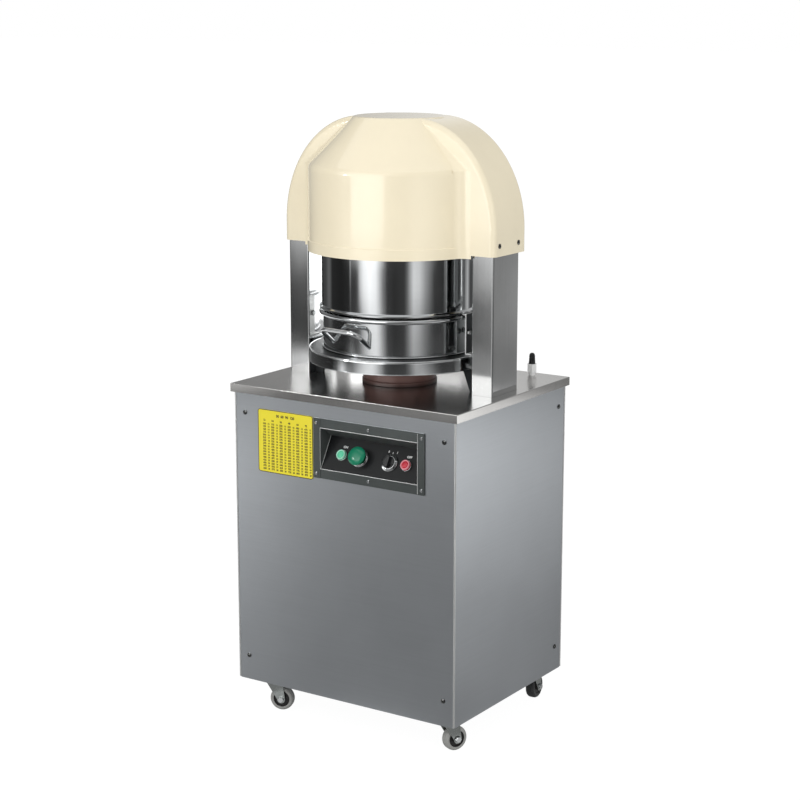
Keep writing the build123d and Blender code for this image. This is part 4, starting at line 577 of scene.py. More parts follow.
def fasteners(name, places, body, finish, sides, radius, crown, height, slot=0.0):
    """Sets heads on (point, outward direction) places and makes them one plain mesh."""
    points = bpy.data.meshes.new(name + "_places")
    points.from_pydata([tuple(p) for p, outward in places], [], [])
    direction = points.attributes.new("outward", "FLOAT_VECTOR", "POINT")
    direction.data.foreach_set("vector", [c for p, outward in places for c in outward])
    made = bpy.data.objects.new(name, points)
    bpy.context.scene.collection.objects.link(made)
    nodes = made.modifiers.new("heads", "NODES")
    nodes.node_group = FASTENERS
    values = {"Sides": sides, "Finish": finish} | dict(zip(HEAD_SIZES, (radius, crown, height, slot)))
    for socket in FASTENERS.interface.items_tree:
        if socket.in_out == "INPUT" and socket.name in values:
            nodes[socket.identifier] = values[socket.name]
    graph = bpy.context.evaluated_depsgraph_get()
    plain = bpy.data.meshes.new_from_object(made.evaluated_get(graph))
    plain.name = name
    bpy.data.objects.remove(made)
    work = bmesh.new()
    work.from_mesh(plain)
    bmesh.ops.remove_doubles(work, verts=work.verts, dist=HEAD_WELD_GAP)
    bmesh.ops.recalc_face_normals(work, faces=work.faces)
    work.to_mesh(plain)
    work.free()
    return add_piece(name, plain, finish, body)


# Cabinet
for panel in ("front_panel", "rear_panel", "left_panel", "right_panel"):
    dressed(panel, PANEL_STEEL, edge_mm=0.25)
dressed("table_top", TABLE_STEEL, edge_mm=0.3, other_faces=[(WORKED_STEEL, UP)])
dressed("left_column", COLUMN_STEEL, edge_mm=0.4)
dressed("right_column", COLUMN_STEEL, edge_mm=0.4)

panel_places = []
screw_x = CABINET_X - PANEL_SCREW_INSET
for z in PANEL_SCREW_LEVELS:
    for end in (-1, 1):
        for x in (-screw_x, screw_x):
            panel_places.append(((x, end * CABINET_Y, z), (0, end, 0)))
        panel_places.append(((end * CABINET_X, CABINET_Y - PANEL_SCREW_INSET, z), (end, 0, 0)))
panel_screws = fasteners("panel_screw_heads", panel_places, "machine", SCREW_STEEL, **DOMED_SCREW)
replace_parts(panel_screws, "panel_screws")
# Thin pale rods along the cabinet's folded corners, as painted highlight.
corner_runs = []
for x in (-FOLD_X, FOLD_X):
    for y in (-FOLD_Y, FOLD_Y):
        corner_runs.append(((x, y, FOLD_LOW), (x, y, FOLD_HIGH)))
rods("fold_highlight_rods", corner_runs, FOLD_HIGHLIGHT_R, ZINC_AND_HIGHLIGHT, "machine")
bezel_places = []
for z in (BEZEL_Z - BEZEL_SCREW_Z, BEZEL_Z + BEZEL_SCREW_Z):
    bezel_places.append(((BEZEL_X, BEZEL_FRONT, z), (0, -1, 0)))
    for x in (BEZEL_X - BEZEL_SCREW_X, BEZEL_X + BEZEL_SCREW_X):
        bezel_places.append(((x, BEZEL_RIM_FRONT, z), (0, -1, 0)))
fasteners("bezel_screw_heads", bezel_places, "machine", CHROME, **BEZEL_SCREW)

# Pan, seat and drum
# The seat's upward faces are painted dark steel and its downward faces dark grey, both as painted shade.
dressed("pan_seat", POLISHED_STEEL, other_faces=[(SHADED_STAINLESS, UP), (DARK_ENAMEL_AND_SHADE, DOWN)])
dressed("pan_pedestal", BROWN_ENAMEL, edge_mm=1.0)
dressed("head_drum", POLISHED_STEEL, edge_mm=0.4)
dressed("dough_pan", PAN_STEEL)
dressed("dough_board", WHITE_BOARD, edge_mm=0.8)
dressed("pan_handle", CHROME)

on_axis = [Matrix.Translation(HEAD_AXIS)]
hem = round_edge(radius=0.1609, height=0.8021, thickness=0.0015)
turned("pan_hem", [hem], on_axis, POLISHED_STEEL, "pan", steps=160, closed=True)
seat_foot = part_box("pan_seat")[0].z + 0.0011
seat_edges = [
    round_edge(radius=0.1894, height=0.7987, thickness=0.0012),
    round_edge(radius=0.1896, height=seat_foot, thickness=0.0011),
]
turned("seat_rims", seat_edges, on_axis * 2, CHROME, "machine", steps=180, closed=True)
# The keepers' faces that look to the right are painted dark as shade.
dressed("pan_keepers", ZINC_AND_HIGHLIGHT, edge_mm=0.5, other_faces=[(SHADED_STAINLESS, RIGHT)])
dressed("column_brackets", DARK_ENAMEL_AND_SHADE, edge_mm=0.5)
bolt_places = []
for k in range(4):
    a = math.radians(PEDESTAL_BOLT_TURN + 90 * k)
    out = Vector((math.cos(a), math.sin(a), 0.0))
    bolt_places.append((HEAD_AXIS + out * PEDESTAL_BOLT_R + Vector((0, 0, PEDESTAL_BOLT_Z)), out))
for side in (-1, 1):
    for y in KEEPER_BOLTS_Y:
        for x, way in ((KEEPER_INNER_X, -side), (KEEPER_OUTER_X, side)):
            bolt_places.append(((side * x, y, KEEPER_BOLT_Z), (way, 0, 0)))
seat_bolts = fasteners("seat_bolt_heads", bolt_places, "machine", ZINC, **HEX_BOLT)
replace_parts(seat_bolts, "seat_bolts")


# Hood

def hood_sides(x):
    """Places of the hood's fixings on both of its sides."""
    return [((side * x, y, HOOD_SCREW_Z), (side, 0, 0)) for side in (-1, 1) for y in HOOD_SCREWS_Y]


dressed("hood", GELCOAT, edge_mm=1.0, crease=28.0)
hood_screws = fasteners("hood_screw_heads", hood_sides(HOOD_SIDE_X), "machine", SCREW_STEEL, **DOMED_SCREW)
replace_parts(hood_screws, "hood_fixings")
fasteners("hood_spacers", hood_sides(HOOD_SPACER_X), "machine", BLACK_NYLON, **SPACER)

# Control recess
HIGHLIGHT_ROD_R = 0.0007
# The bezel's faces that look to the right and the recess's roof are painted a soft grey as painted light.
dressed(
    "control_bezel",
    BEZEL_STEEL,
    edge_mm=0.4,
    other_faces=[(POCKET_PAINTED_LIGHT, RIGHT), (POCKET_PAINTED_LIGHT, POCKET_ROOF)],
)
# Thin pale rods round the recess's opening, as painted highlight.
pocket_corners = [
    (x, BEZEL_EDGE_FRONT, z) for z in (POCKET_LOW, POCKET_HIGH) for x in (POCKET_LEFT, POCKET_RIGHT)
]
low_left, low_right, high_left, high_right = pocket_corners
end_front = BEZEL_EDGE_FRONT - 0.0006
end_run = ((POCKET_RIGHT, end_front, BEZEL_LOW), (POCKET_RIGHT, end_front, BEZEL_HIGH))
edge_runs = [(low_left, high_left), (low_left, low_right), (high_left, high_right), end_run]
rods("bezel_edge_highlight_rods", edge_runs, HIGHLIGHT_ROD_R, ZINC_AND_HIGHLIGHT, "machine")
dressed("control_plate", CONTROL_BLACK, edge_mm=0.2)
# A thin pale rod at the control plate's left edge, as painted highlight.
plate_low, plate_high = [Vector(corner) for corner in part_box("control_plate")]
highlight_x = plate_low.x + 0.0008
highlight_run = ((highlight_x, plate_low.y, plate_low.z), (highlight_x, plate_high.y - 0.003, plate_high.z))
rods("plate_left_highlight_rod", [highlight_run], HIGHLIGHT_ROD_R, ZINC_AND_HIGHLIGHT, "machine")


def control_place(x):
    """Placement on the control plate, with Z pointing out of it."""
    return facing(CONTROL_ROW + Vector((x, 0.0, 0.0)), CONTROL_OUT, CONTROL_UP)


def collar(bore, height, top, foot, foot_height, edges):
    """Outline of a ring round a control, with a sloping shoulder and three eased edges."""
    return eased([
        (bore, 0.0, 0),
        (bore, height, edges[0]),
        (top, height, edges[1]),
        (foot, foot_height, edges[2]),
        (foot, 0.0, 0),
    ])


lamp_collar = collar(0.0106, 0.0030, 0.0112, 0.0120, 0.0018, (0.0004, 0.0004, 0.0004))
start_collar = collar(0.0092, 0.0060, 0.0165, 0.0195, 0.0036, (0.0004, 0.0005, 0.0005))
selector_collar = collar(0.0132, 0.0060, 0.0140, 0.0185, 0.0028, (0.0003, 0.0004, 0.0005))
collars = turned(
    "control_collar_rings",
    [lamp_collar, lamp_collar, start_collar, selector_collar],
    [control_place(x) for x in (GREEN_LAMP_X, RED_LAMP_X, START_X, SELECTOR_X)],
    CHROME,
    "machine",
    steps=64,
    closed=True,
)
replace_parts(collars, "control_collars")
lamp_rim = eased([
    (0.0076, 0.0060, 0), (0.0105, 0.0060, 0), (0.0105, 0.0086, 0.0014), (0.0092, 0.0092, 0.0006),
    (0.0076, 0.0084, 0.0006),
])
lamp_lens = [(0.0, 0.0)] + eased([
    (0.0104, 0.0, 0), (0.0104, 0.0070, 0.0004), (0.0074, 0.0072, 0.0004), (0.0062, 0.0086, 0.0010),
    (0.0, 0.0092, 0),
])
for name, x, finish, rim_finish in (
    ("green_lamp", GREEN_LAMP_X, GREEN_LENS, GREEN_RIM), ("red_lamp", RED_LAMP_X, RED_LENS, RED_RIM)
):
    lens = turned(name + "_lens", [lamp_lens], [control_place(x)], finish, "machine", steps=48)
    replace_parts(lens, name)
    turned(name + "_rim", [lamp_rim], [control_place(x)], rim_finish, "machine", steps=48, closed=True)
mushroom = eased([
    (0.0, 0.0003, 0), (0.009, 0.0003, 0), (0.009, 0.0145, 0.001), (0.0190, 0.0147, 0.001),
    (0.0200, 0.0160, 0.001), (0.0194, 0.0190, 0.003), (0.0150, 0.0226, 0.005), (0.0080, 0.0243, 0.004),
    (0.0, 0.0247, 0),
])
start_place = [control_place(START_X)]
button = turned("start_mushroom", [mushroom], start_place, GREEN_ABS, "start_button_body", steps=64)
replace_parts(button, "start_button")
dressed("selector_knob", BLACK_NYLON, edge_mm=0.9)
dressed("contact_blocks", BLACK_NYLON, edge_mm=0.5)


# Print

STROKE_SHARE = 0.05


def flat_mesh(name, outlines, place, finish, body, rise):
    """Thin printed shapes from (x, y) outlines, laid on a face."""
    work = bmesh.new()
    for outline in outlines:
        work.faces.new([work.verts.new((x, y, rise)) for x, y in outline])
    work.transform(place)
    return piece_from(work, name, finish, body)


def bar(x0, y0, x1, y1):
    """Corners of a rectangle, counted round from the lower left."""
    return [(x0, y0), (x1, y0), (x1, y1), (x0, y1)]


def figures(name, entries, place, finish, body, rise):
    """Printed numbers or words, (text, x, y, height) each, as one mesh laid on a face."""
    work = bmesh.new()
    for text, x, y, height in entries:
        curve = bpy.data.curves.new("figure", "FONT")
        curve.body = text
        curve.size = height
        curve.align_x = "CENTER"
        curve.align_y = "CENTER"
        curve.resolution_u = 2
        curve.offset = height * STROKE_SHARE
        shape = bpy.data.objects.new("figure", curve)
        mesh = bpy.data.meshes.new_from_object(shape)
        mesh.transform(Matrix.Translation((x, y, rise)))
        work.from_mesh(mesh)
        bpy.data.objects.remove(shape)
        bpy.data.curves.remove(curve)
        bpy.data.meshes.remove(mesh)
    work.transform(place)
    return piece_from(work, name, finish, body)


def rounded_outline(half_x, half_y, corner):
    """Outline of a plate with rounded corners, counted round from the lower right."""
    line = []
    for quarter, (x_side, y_side) in enumerate(((1, -1), (1, 1), (-1, 1), (-1, -1))):
        for k in range(7):
            a = math.radians(90 * (quarter - 1) + 15 * k)
            x = x_side * (half_x - corner) + corner * math.cos(a)
            line.append((x, y_side * (half_y - corner) + corner * math.sin(a)))
    return line


# Printed weight chart: a plate with rounded corners, a border and six columns of plain numbers
INK_RISE = 0.00005
BORDER_RISE = 0.00004
BORDER_WIDTH = 0.0015
CHART_CORNER = 0.0055
CHART_COLUMNS = 6
CHART_ROWS = 17
COLUMN_STEP = 0.0215
ROW_STEP = 0.0060
FIRST_COLUMN = -0.0540
FIRST_ROW = 0.0365
PAIR_STEP = 0.0108

chart_place = facing(CHART_MIDDLE, (0, -1, 0))
chart_low, chart_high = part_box("chart_plate")
chart_x = (chart_high.x - chart_low.x) / 2
chart_y = (chart_high.z - chart_low.z) / 2
chart_edge = rounded_outline(chart_x, chart_y, CHART_CORNER)
inner_corner = CHART_CORNER - BORDER_WIDTH
inner_edge = rounded_outline(chart_x - BORDER_WIDTH, chart_y - BORDER_WIDTH, inner_corner)
work = bmesh.new()
face = [work.verts.new((x, y, 0.0)) for x, y in chart_edge]
back = [work.verts.new((x, y, chart_low.y - chart_high.y)) for x, y in chart_edge]
work.faces.new(face)
work.faces.new(list(reversed(back)))
border = []
for k in range(len(face)):
    work.faces.new((face[k - 1], back[k - 1], back[k], face[k]))
    border.append((chart_edge[k - 1], chart_edge[k], inner_edge[k], inner_edge[k - 1]))
work.transform(chart_place)
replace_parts(piece_from(work, "chart_skin", CHART_YELLOW, "machine"), "chart_plate")
numbers = [("30  60  90  120", 0.0, 0.0555, 0.0076)]
for k in range(CHART_COLUMNS):
    x = FIRST_COLUMN + k * COLUMN_STEP
    numbers.append((str(12 * (k + 1)), x, 0.0440, 0.0056))
    for row in range(CHART_ROWS):
        y = FIRST_ROW - row * ROW_STEP
        numbers.append((str(100 + 25 * row + 75 * k), x, y, 0.0054))
        numbers.append((str(12 + row), x + PAIR_STEP, y, 0.0048))
figures("chart_numbers", numbers, chart_place, BROWN_INK, "machine", INK_RISE)
flat_mesh("chart_border", border, chart_place, BROWN_INK, "machine", BORDER_RISE)

# Print round the selector and over the lamps
POINTER_RISE = 0.01505
selector = control_place(SELECTOR_X)
ticks = [bar(-0.0006, 0.0200, 0.0006, 0.0235)]
flat_mesh("selector_ticks", ticks, selector, WHITE_INK, "machine", INK_RISE)
settings = [("0", -0.010, 0.0235, 0.0058), ("1", 0.010, 0.0235, 0.0058)]
figures("selector_numbers", settings, selector, WHITE_INK, "machine", INK_RISE)
lamp_words = [("ON", -0.074, 0.0185, 0.0066), ("OFF", 0.082, 0.0185, 0.0066)]
figures("lamp_words", lamp_words, control_place(0.0), WHITE_INK, "machine", INK_RISE)
pointer = [bar(-0.0006, 0.003, 0.0006, 0.0112)]
flat_mesh("selector_pointer", pointer, selector, WHITE_INK, "selector_body", POINTER_RISE)

# Cable gland: its sleeve has four grooves and a bore for the cord
GROOVE_STEP = 0.0032
GROOVE_DEPTH = 0.0005
SLEEVE_TAPER = 0.0002
dressed("cable_gland", WHITE_NYLON, edge_mm=0.5)
sleeve = [(0.0032, 0.0), (0.0072, 0.0)]
for k in range(4):
    low = 0.0022 + k * GROOVE_STEP
    radius = 0.0071 - k * SLEEVE_TAPER
    sleeve += [(radius, low), (radius - GROOVE_DEPTH, low + 0.0006)]
    sleeve += [(radius - GROOVE_DEPTH, low + 0.0014), (radius, low + 0.002)]
sleeve += eased(
    [(0.0063, 0.0158, 0), (0.0056, 0.0227, 0.0045), (0.0036, 0.0230, 0.0004), (0.0032, 0.0224, 0)],
    steps=8,
)
gland_place = [Matrix.Translation(GLAND_TOP)]
ribbed = turned("ribbed_sleeve", [sleeve], gland_place, BLACK_NYLON, "machine", steps=32, closed=True)
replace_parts(ribbed, "gland_sleeve")

# Casters
tyre = eased(
    both_halves([(0.0178, -0.0098, 0.0006), (0.0222, -0.0103, 0.002), (0.0260, -0.0074, 0.004)]), steps=6
)
hub = eased(both_halves([
    (0.0041, -0.0106, 0), (0.0078, -0.0106, 0.0006), (0.0086, -0.0072, 0.0006),
    (0.0154, -0.0072, 0.0006), (0.0166, -0.0096, 0.0005), (0.0179, -0.0096, 0),
]))
dressed("caster_plates", ZINC, edge_mm=0.4)
for corner, (x, y, heading) in CASTERS.items():
    a = math.radians(heading)
    trail = Vector((math.cos(a), math.sin(a), 0.0))
    across = Vector((trail.y, -trail.x, 0.0))
    hub_place = facing(Vector((x, y, WHEEL_R)) + trail * CASTER_TRAIL, across)
    dressed("caster_fork_" + corner, FORK_ZINC, edge_mm=0.5)
    hub_middle = hub_place.translation
    axle_ends = [(hub_middle + across * side * AXLE_END, across * side) for side in (-1, 1)]
    fasteners("axle_heads_" + corner, axle_ends, "swivel_" + corner, CHROME, **AXLE_NUT)
    body = "wheel_" + corner
    # The rear tyres are painted darker as shade.
    rubber = SHADED_REAR_TYRE if corner.startswith("rear") else TYRE_RUBBER
    made = turned("tyre_" + corner, [tyre], [hub_place], rubber, body, steps=64, closed=True)
    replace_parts(made, "caster_wheel_" + corner)
    turned("hub_" + corner, [hub], [hub_place], HUB_PLASTIC, body, steps=48, closed=True)


# Press springs: wound wire between the spider and the head plate, drawn at one length; the real ones shorten
# as the press plate gives way

SPRING_COUNT = 6
SPRING_TURNS = 8
SPRING_R = 0.0133
SPRING_SLEEVE_R = 0.015
SPRING_PLAY = 0.0002
WIRE_R = 0.0016
STEPS_A_TURN = 24
WIRE_SIDES = 8


def wound_spring(work, foot, length):
    """A spring of round wire, wound upwards from its foot."""
    steps = SPRING_TURNS * STEPS_A_TURN
    around = [2 * math.pi * k / WIRE_SIDES for k in range(WIRE_SIDES)]
    rings = []
    for i in range(steps + 1):
        a = 2 * math.pi * SPRING_TURNS * i / steps
        out = Vector((math.cos(a), math.sin(a), 0.0))
        middle = foot + out * SPRING_R + UP * (WIRE_R + (length - 2 * WIRE_R) * i / steps)
        ring = [middle + out * WIRE_R * math.cos(b) + UP * WIRE_R * math.sin(b) for b in around]
        rings.append([work.verts.new(point) for point in ring])
    made = [work.faces.new(rings[0]), work.faces.new(rings[-1])]
    for lower, upper in zip(rings, rings[1:]):
        for k in range(WIRE_SIDES):
            j = (k + 1) % WIRE_SIDES
            made.append(work.faces.new((lower[k], lower[j], upper[j], upper[k])))
    bmesh.ops.recalc_face_normals(work, faces=made)


spring_low, spring_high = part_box("press_springs")
spring_length = spring_high.z - spring_low.z
spring_circle = spring_high.x - SPRING_SLEEVE_R
work = bmesh.new()
for k in range(SPRING_COUNT):
    a = math.radians(360 / SPRING_COUNT * k)
    foot_z = spring_low.z + SPRING_PLAY
    foot = HEAD_AXIS + Vector((spring_circle * math.cos(a), spring_circle * math.sin(a), foot_z))
    wound_spring(work, foot, spring_length - 2 * SPRING_PLAY)
coils = soften(piece_from(work, "press_spring_coils", MACHINED_STEEL, "head"), 0.0, 50.0)
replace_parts(coils, "press_springs")
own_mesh(coils)

# Solids that keep their own shape
for finish, nodes in (
    (GREY_PRIMER, ("cabinet_frame", "crosshead", "drive_plate", "bearing_stands", "gearbox_housing")),
    (GALVANISED, ("base_plate", "electrical_box")),
    (CAST_ALUMINIUM, ("rod_guides", "press_pads")),
    (MACHINED_STEEL, ("lift_rods", "racks", "head_ram", "knife_carrier", "press_spider")),
    (MACHINED_STEEL, ("cross_shaft", "bull_gear", "drive_pinion")),
    (POLISHED_STEEL, ("knife_cage",)),
    (MOTOR_ENAMEL, ("motor",)),
    (BLACK_NYLON, ("limit_switches",)),
):
    for node in nodes:
        mesh = frame["nodes"][node].data
        mesh.materials.clear()
        mesh.materials.append(finish)


# Studio: pale floor, white surroundings, a wall and two cards that only gloss can see, and soft lamps

def stage_piece(name, corners, faces, material):
    """Puts up a piece of the studio, which is no part of the machine."""
    mesh = bpy.data.meshes.new(name)
    mesh.from_pydata(corners, [], faces)
    mesh.materials.append(material)
    made = bpy.data.objects.new(name, mesh)
    bpy.context.scene.collection.objects.link(made)
    return made


def empty_paint(name):
    """A material with no nodes yet."""
    paint = bpy.data.materials.new(name)
    paint.use_nodes = True
    paint.node_tree.nodes.clear()
    return paint, paint.node_tree


def seen_rays(tree, metal_share):
    """1 for rays that see the background straight or through glass, and a share for those off metal."""
    rays = put(tree, "ShaderNodeLightPath").outputs
    eye, glass = rays["Is Camera Ray"], rays["Is Transmission Ray"]
    straight = put(tree, "ShaderNodeMath", {0: eye, 1: glass}, operation="MAXIMUM").outputs[0]
    gloss = rays["Is Glossy Ray"]
    metal = put(tree, "ShaderNodeMath", {0: gloss, 1: metal_share}, operation="MULTIPLY").outputs[0]
    return put(tree, "ShaderNodeMath", {0: straight, 1: metal}, operation="MAXIMUM").outputs[0]


def round_about(radius, bearing, height):
    """A point round the machine, at a bearing in degrees from the front, counted to the right."""
    a = math.radians(bearing)
    return radius * math.sin(a), -radius * math.cos(a), height


FLOOR_HALF = 40
FLOOR_GLOW = 1.12
FLOOR_GLOW_SHARE = 0.86
FLOOR_IN_METAL = 0.12
floor_paint, tree = empty_paint("white_floor")
lit = put(tree, "ShaderNodeBsdfDiffuse", {"Color": linear("#DEDEDE")}).outputs[0]
glow = put(tree, "ShaderNodeEmission", {"Color": WHITE, "Strength": FLOOR_GLOW}).outputs[0]
seen = seen_rays(tree, FLOOR_IN_METAL)
share = put(tree, "ShaderNodeMath", {0: seen, 1: FLOOR_GLOW_SHARE}, operation="MULTIPLY").outputs[0]
blend = put(tree, "ShaderNodeMixShader", {0: share, 1: lit, 2: glow})
put(tree, "ShaderNodeOutputMaterial", {"Surface": blend.outputs[0]})
floor_corners = [(x, y, 0) for x, y in bar(-FLOOR_HALF, -FLOOR_HALF, FLOOR_HALF, FLOOR_HALF)]
stage_piece("floor", floor_corners, [(0, 1, 2, 3)], floor_paint)

# Studio wall: what polished metal sees round the machine, set for the photograph's view. Each row has a
# radius, a height and, in hundredths, the brightness at some bearings. Shared stretches come first.
WALL_R = 2.20
LOW_LEFT = {-110: 8, -87: 5, -57: 2}
LOW_RIGHT = {2: 110, 10: 60, 16: 17, 20: 8, 40: 8, 45: 16, 53: 50, 61: 62, 69: 42}
LOW_REAR = {150: 30, 160: 45, 208: 40}
DARK_LEFT = {-110: 6, -100: 8, -90: 17, -86: 14, -80: 3, -57: 2}
DARK_RIGHT = {5: 80, 10: 26, 16: 6, 26: 4, 40: 6, 44: 18}
DARK_END = {83: 7, 98: 4, 109: 8, 120: 7, 132: 12}
PALE_STRIP = {140: 28, 144: 34, 147: 60, 149: 60, 152: 30, 156: 8, 164: 8, 172: 18, 208: 25}
HIGH_FRONT = {-60: 10, -48: 60, -40: 180, -30: 240, 12: 300, 18: 30, 40: 10, 54: 60, 90: 30, 146: 40,
              180: 50}
STUDIO_WALL = [
    (0.35, 0.004, {-60: 42, -33: 33, 0: 30, 60: 30, 120: 34, 146: 28}),
    (1.10, 0.004, {-60: 68, -40: 44, -30: 29, 0: 27, 60: 27, 115: 58, 135: 42, 150: 27}),
    (WALL_R, 0.004, {-70: 120, -46: 115, -38: 60, -30: 24, 60: 24, 120: 150, 137: 115, 145: 52, 152: 36}),
    (WALL_R, 0.100, {-70: 190, -46: 190, -38: 70, -30: 22, 60: 22, 120: 210, 137: 165, 145: 65, 152: 42}),
    (WALL_R, 0.235, {-70: 200, -46: 200, -38: 68, -30: 20, 60: 22, 120: 230, 137: 180, 145: 75, 152: 50}),
    (WALL_R, 0.262,
     {-70: 30, -46: 8, -37: 5, -30: 32, -22: 60, -8: 110, 5: 60, 12: 17, 36: 8, 57: 60, 90: 8, 112: 90,
      137: 155, 145: 135, 152: 20, 168: 8, 200: 8, 212: 20}),
    (WALL_R, 0.300,
     {-70: 5, -46: 6, -37: 6, -31: 20, -25: 42, -14: 95, -6: 120} | LOW_RIGHT
     | {77: 26, 85: 12, 90: 5, 119: 6, 132: 12, 140: 28, 150: 33, 154: 30, 162: 10, 202: 10, 212: 30}),
    (WALL_R, 0.370,
     LOW_LEFT | {-49: 25, -41: 155, -40: 155, -33: 55, -25: 35, -14: 97, -6: 122} | LOW_RIGHT
     | {77: 20, 85: 6, 119: 6, 132: 10, 140: 25} | LOW_REAR),
    (WALL_R, 0.405,
     LOW_LEFT
     | {-42: 3, -41: 3, -40: 3, -39: 5, -31: 6, -26: 15, -19: 42, -9: 90, 0: 115, 5: 90, 10: 48, 16: 10,
        26: 5, 40: 6, 44: 17, 53: 51, 61: 32, 70: 16, 79: 5, 119: 5, 132: 8, 140: 24}
     | LOW_REAR),
    (WALL_R, 0.540,
     {-110: 6, -100: 8, -90: 16, -86: 13, -80: 3, -57: 2, -42: 3, -41: 11, -40: 11, -39: 5, -31: 7, -26: 14,
      -19: 80, -9: 130, 0: 125, 5: 85, 10: 36, 16: 7, 26: 4, 40: 6, 44: 17, 49: 45, 53: 72, 61: 60, 70: 28,
      79: 11, 85: 4, 120: 6, 132: 10}
     | PALE_STRIP),
    (WALL_R, 0.620,
     DARK_LEFT
     | {-42: 3, -41: 18, -40: 18, -39: 5, -32: 5, -28: 12, -24: 80, -19: 130, -9: 160, 0: 138}
     | DARK_RIGHT | {49: 62, 53: 102, 61: 92, 70: 45, 77: 22} | DARK_END | PALE_STRIP),
    (WALL_R, 0.675,
     DARK_LEFT
     | {-42: 3, -41: 42, -40: 42, -39: 6, -32: 5, -28: 14, -24: 90, -19: 140, -9: 170, 0: 142}
     | DARK_RIGHT | {49: 64, 53: 105, 61: 94, 70: 47, 77: 24} | DARK_END | PALE_STRIP),
    (WALL_R, 0.720,
     DARK_LEFT
     | {-42: 8, -41: 62, -40: 62, -39: 25, -31: 45, -24: 100, -19: 150, -9: 175, 0: 150, 5: 90, 11: 30, 17: 6,
        40: 6, 44: 18, 53: 100, 61: 92, 70: 48, 79: 26, 88: 6, 98: 4, 120: 8, 132: 14, 144: 34, 150: 50,
        156: 15, 164: 15, 172: 30, 208: 40}),
    (WALL_R, 0.775,
     {-110: 11, -57: 3, -46: 30, -37: 125, -31: 125, -23: 220, 11: 220, 14: 20, 20: 6, 44: 6, 53: 80, 70: 55,
      90: 12, 118: 10, 150: 42, 160: 60, 185: 60, 208: 40}),
    (WALL_R, 0.820,
     {-110: 11, -57: 4, -46: 30, -37: 70, -28: 60, -25: 340, 13: 340, 16: 30, 24: 6, 40: 6, 49: 80, 66: 60,
      90: 20, 118: 20, 146: 45, 183: 60, 208: 50, 216: 30}),
    (WALL_R, 0.960,
     {-154: 60, -120: 30, -60: 10, -48: 20, -38: 40, -28: 40, -25: 340, 13: 340, 17: 30, 24: 6, 40: 6, 51: 70,
      90: 25, 118: 20, 147: 45, 180: 50}),
    (WALL_R, 1.050, {-154: 70, -138: 35, -110: 25} | HIGH_FRONT),
    (WALL_R, 1.500, {-154: 85, -138: 32, -110: 22} | HIGH_FRONT),
    (WALL_R, 2.200,
     {-154: 85, -138: 32, -110: 22, -60: 10, -30: 150, 12: 150, 40: 20, 90: 30, 146: 40, 180: 50}),
    (WALL_R, 3.200, {-180: 20}),
]


def brightness_at(stops, bearing):
    """The brightness at a bearing, in a straight line from stop to stop and on round the circle."""
    first, last = stops[0], stops[-1]
    ring = [(last[0] - 360, last[1])] + stops + [(first[0] + 360, first[1])]
    for (low, low_value), (high, high_value) in zip(ring, ring[1:]):
        if low <= bearing <= high:
            return low_value + (high_value - low_value) * (bearing - low) / (high - low)
    return brightness_at(stops, bearing + 360)


wall_paint, tree = empty_paint("studio_wall_seen_in_metal")
painted = put(tree, "ShaderNodeAttribute", attribute_name="brightness").outputs["Fac"]
shine = put(tree, "ShaderNodeEmission", {"Color": WHITE, "Strength": painted})
put(tree, "ShaderNodeOutputMaterial", {"Surface": shine.outputs[0]})
wall_bearings = list(range(-180, 181))
wall_corners = []
wall_values = []
for radius, height, hundredths in STUDIO_WALL:
    stops = [(bearing, share / 100) for bearing, share in hundredths.items()]
    for bearing in wall_bearings:
        wall_corners.append(round_about(radius, bearing, height))
        wall_values.append(brightness_at(stops, bearing))
across = len(wall_bearings)
wall_faces = []
for row in range(len(STUDIO_WALL) - 1):
    for k in range(across - 1):
        corner = row * across + k
        wall_faces.append((corner, corner + 1, corner + across + 1, corner + across))
wall = stage_piece("studio_wall", wall_corners, wall_faces, wall_paint)
wall.data.attributes.new("brightness", "FLOAT", "POINT").data.foreach_set("value", wall_values)


def shining_card(name, corners, strength):
    """A white card that shines."""
    paint, tree = empty_paint(name + "_paint")
    shine = put(tree, "ShaderNodeEmission", {"Color": WHITE, "Strength": strength})
    put(tree, "ShaderNodeOutputMaterial", {"Surface": shine.outputs[0]})
    return stage_piece(name, corners, [(0, 1, 2, 3)], paint)


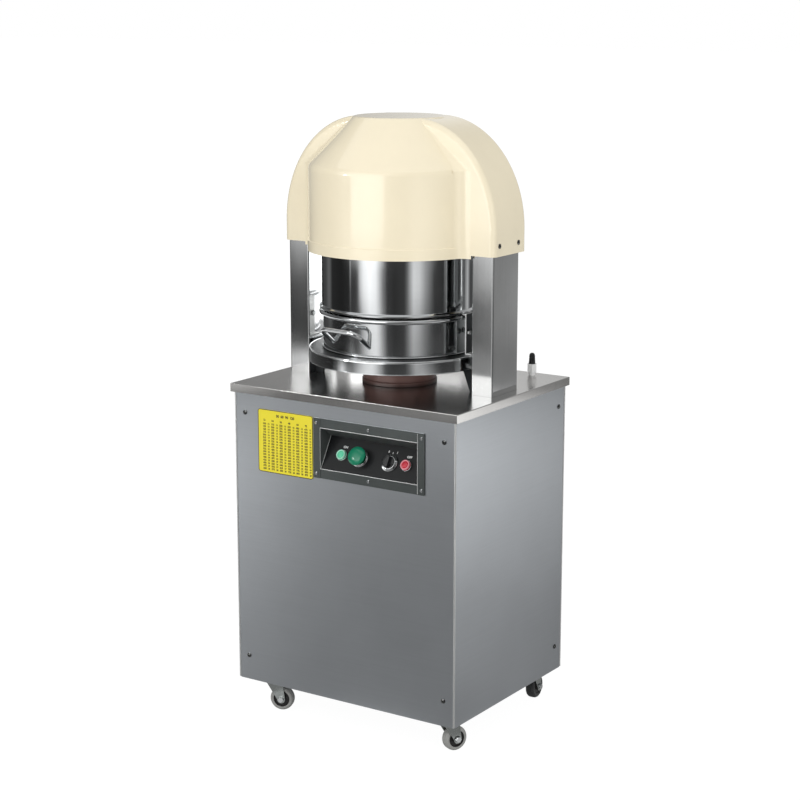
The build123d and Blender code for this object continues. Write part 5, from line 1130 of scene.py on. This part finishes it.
# The glint card draws the glints on knobs, screws and rims. The gap card stands close behind the machine,
# where the left column's inner face mirrors it.
GLINT_R = 2.15
GAP_CARD_Y = 0.24
glint_corners = [round_about(GLINT_R, bearing, height) for bearing, height in bar(-38, 1.20, -31, 1.48)]
glint_card = shining_card("glint_card", glint_corners, 22.0)
gap_corners = [(x, GAP_CARD_Y, z) for x, z in bar(-0.30, 0.78, 0.0, 0.98)]
gap_card = shining_card("gap_card", gap_corners, 3.5)
for unlit in (wall, glint_card, gap_card):
    unlit.visible_camera = False
    unlit.visible_diffuse = False
    unlit.visible_shadow = False
    unlit.visible_transmission = False

SKY_LIGHT = 0.72
world = bpy.data.worlds.new("white_studio")
bpy.context.scene.world = world
world.use_nodes = True
tree = world.node_tree
tree.nodes.clear()
level = put(tree, "ShaderNodeMapRange", {"Value": seen_rays(tree, 1.0), "To Min": SKY_LIGHT, "To Max": 1.0})
sky = put(tree, "ShaderNodeBackground", {"Color": WHITE, "Strength": level.outputs["Result"]})
put(tree, "ShaderNodeOutputWorld", {"Surface": sky.outputs[0]})


def softbox(name, bearing, distance, height, aim_z, size, power):
    """A lamp behind a lit rectangle, turned to the machine's axis. Gloss doesn't show it."""
    lamp = bpy.data.lights.new(name, "AREA")
    lamp.shape = "RECTANGLE"
    lamp.size, lamp.size_y = size
    lamp.energy = power
    made = bpy.data.objects.new(name, lamp)
    bpy.context.scene.collection.objects.link(made)
    made.location = round_about(distance, bearing, height)
    made.rotation_euler = (UP * aim_z - made.location).to_track_quat("-Z", "Y").to_euler()
    made.visible_glossy = False


softbox("front_lamp", bearing=-10, distance=2.8, height=1.7, aim_z=0.9, size=(1.6, 1.8), power=22.5)
softbox("right_lamp", bearing=62, distance=3.0, height=1.6, aim_z=0.9, size=(1.4, 1.8), power=17.5)
softbox("top_lamp", bearing=20, distance=0.6, height=3.2, aim_z=0.8, size=(2.0, 2.0), power=4.5)

# Camera, fitted to the photograph
VIEW_MIDDLE = Vector((-0.00328, 0.0, 0.6804))
VIEW_DISTANCE = 4.06836
azimuth = math.radians(33.69)
elevation = math.radians(12.16)
back = Vector((
    math.sin(azimuth) * math.cos(elevation), -math.cos(azimuth) * math.cos(elevation), math.sin(elevation)
))
view = bpy.data.cameras.new("photo_view")
view.sensor_width = 36.0
view.lens = 86.47
camera = bpy.data.objects.new("photo_view", view)
bpy.context.scene.collection.objects.link(camera)
camera.location = VIEW_MIDDLE + back * VIEW_DISTANCE
camera.rotation_euler = (-back).to_track_quat("-Z", "Y").to_euler()
bpy.context.scene.camera = camera
bpy.context.scene.view_settings.view_transform = "Standard"
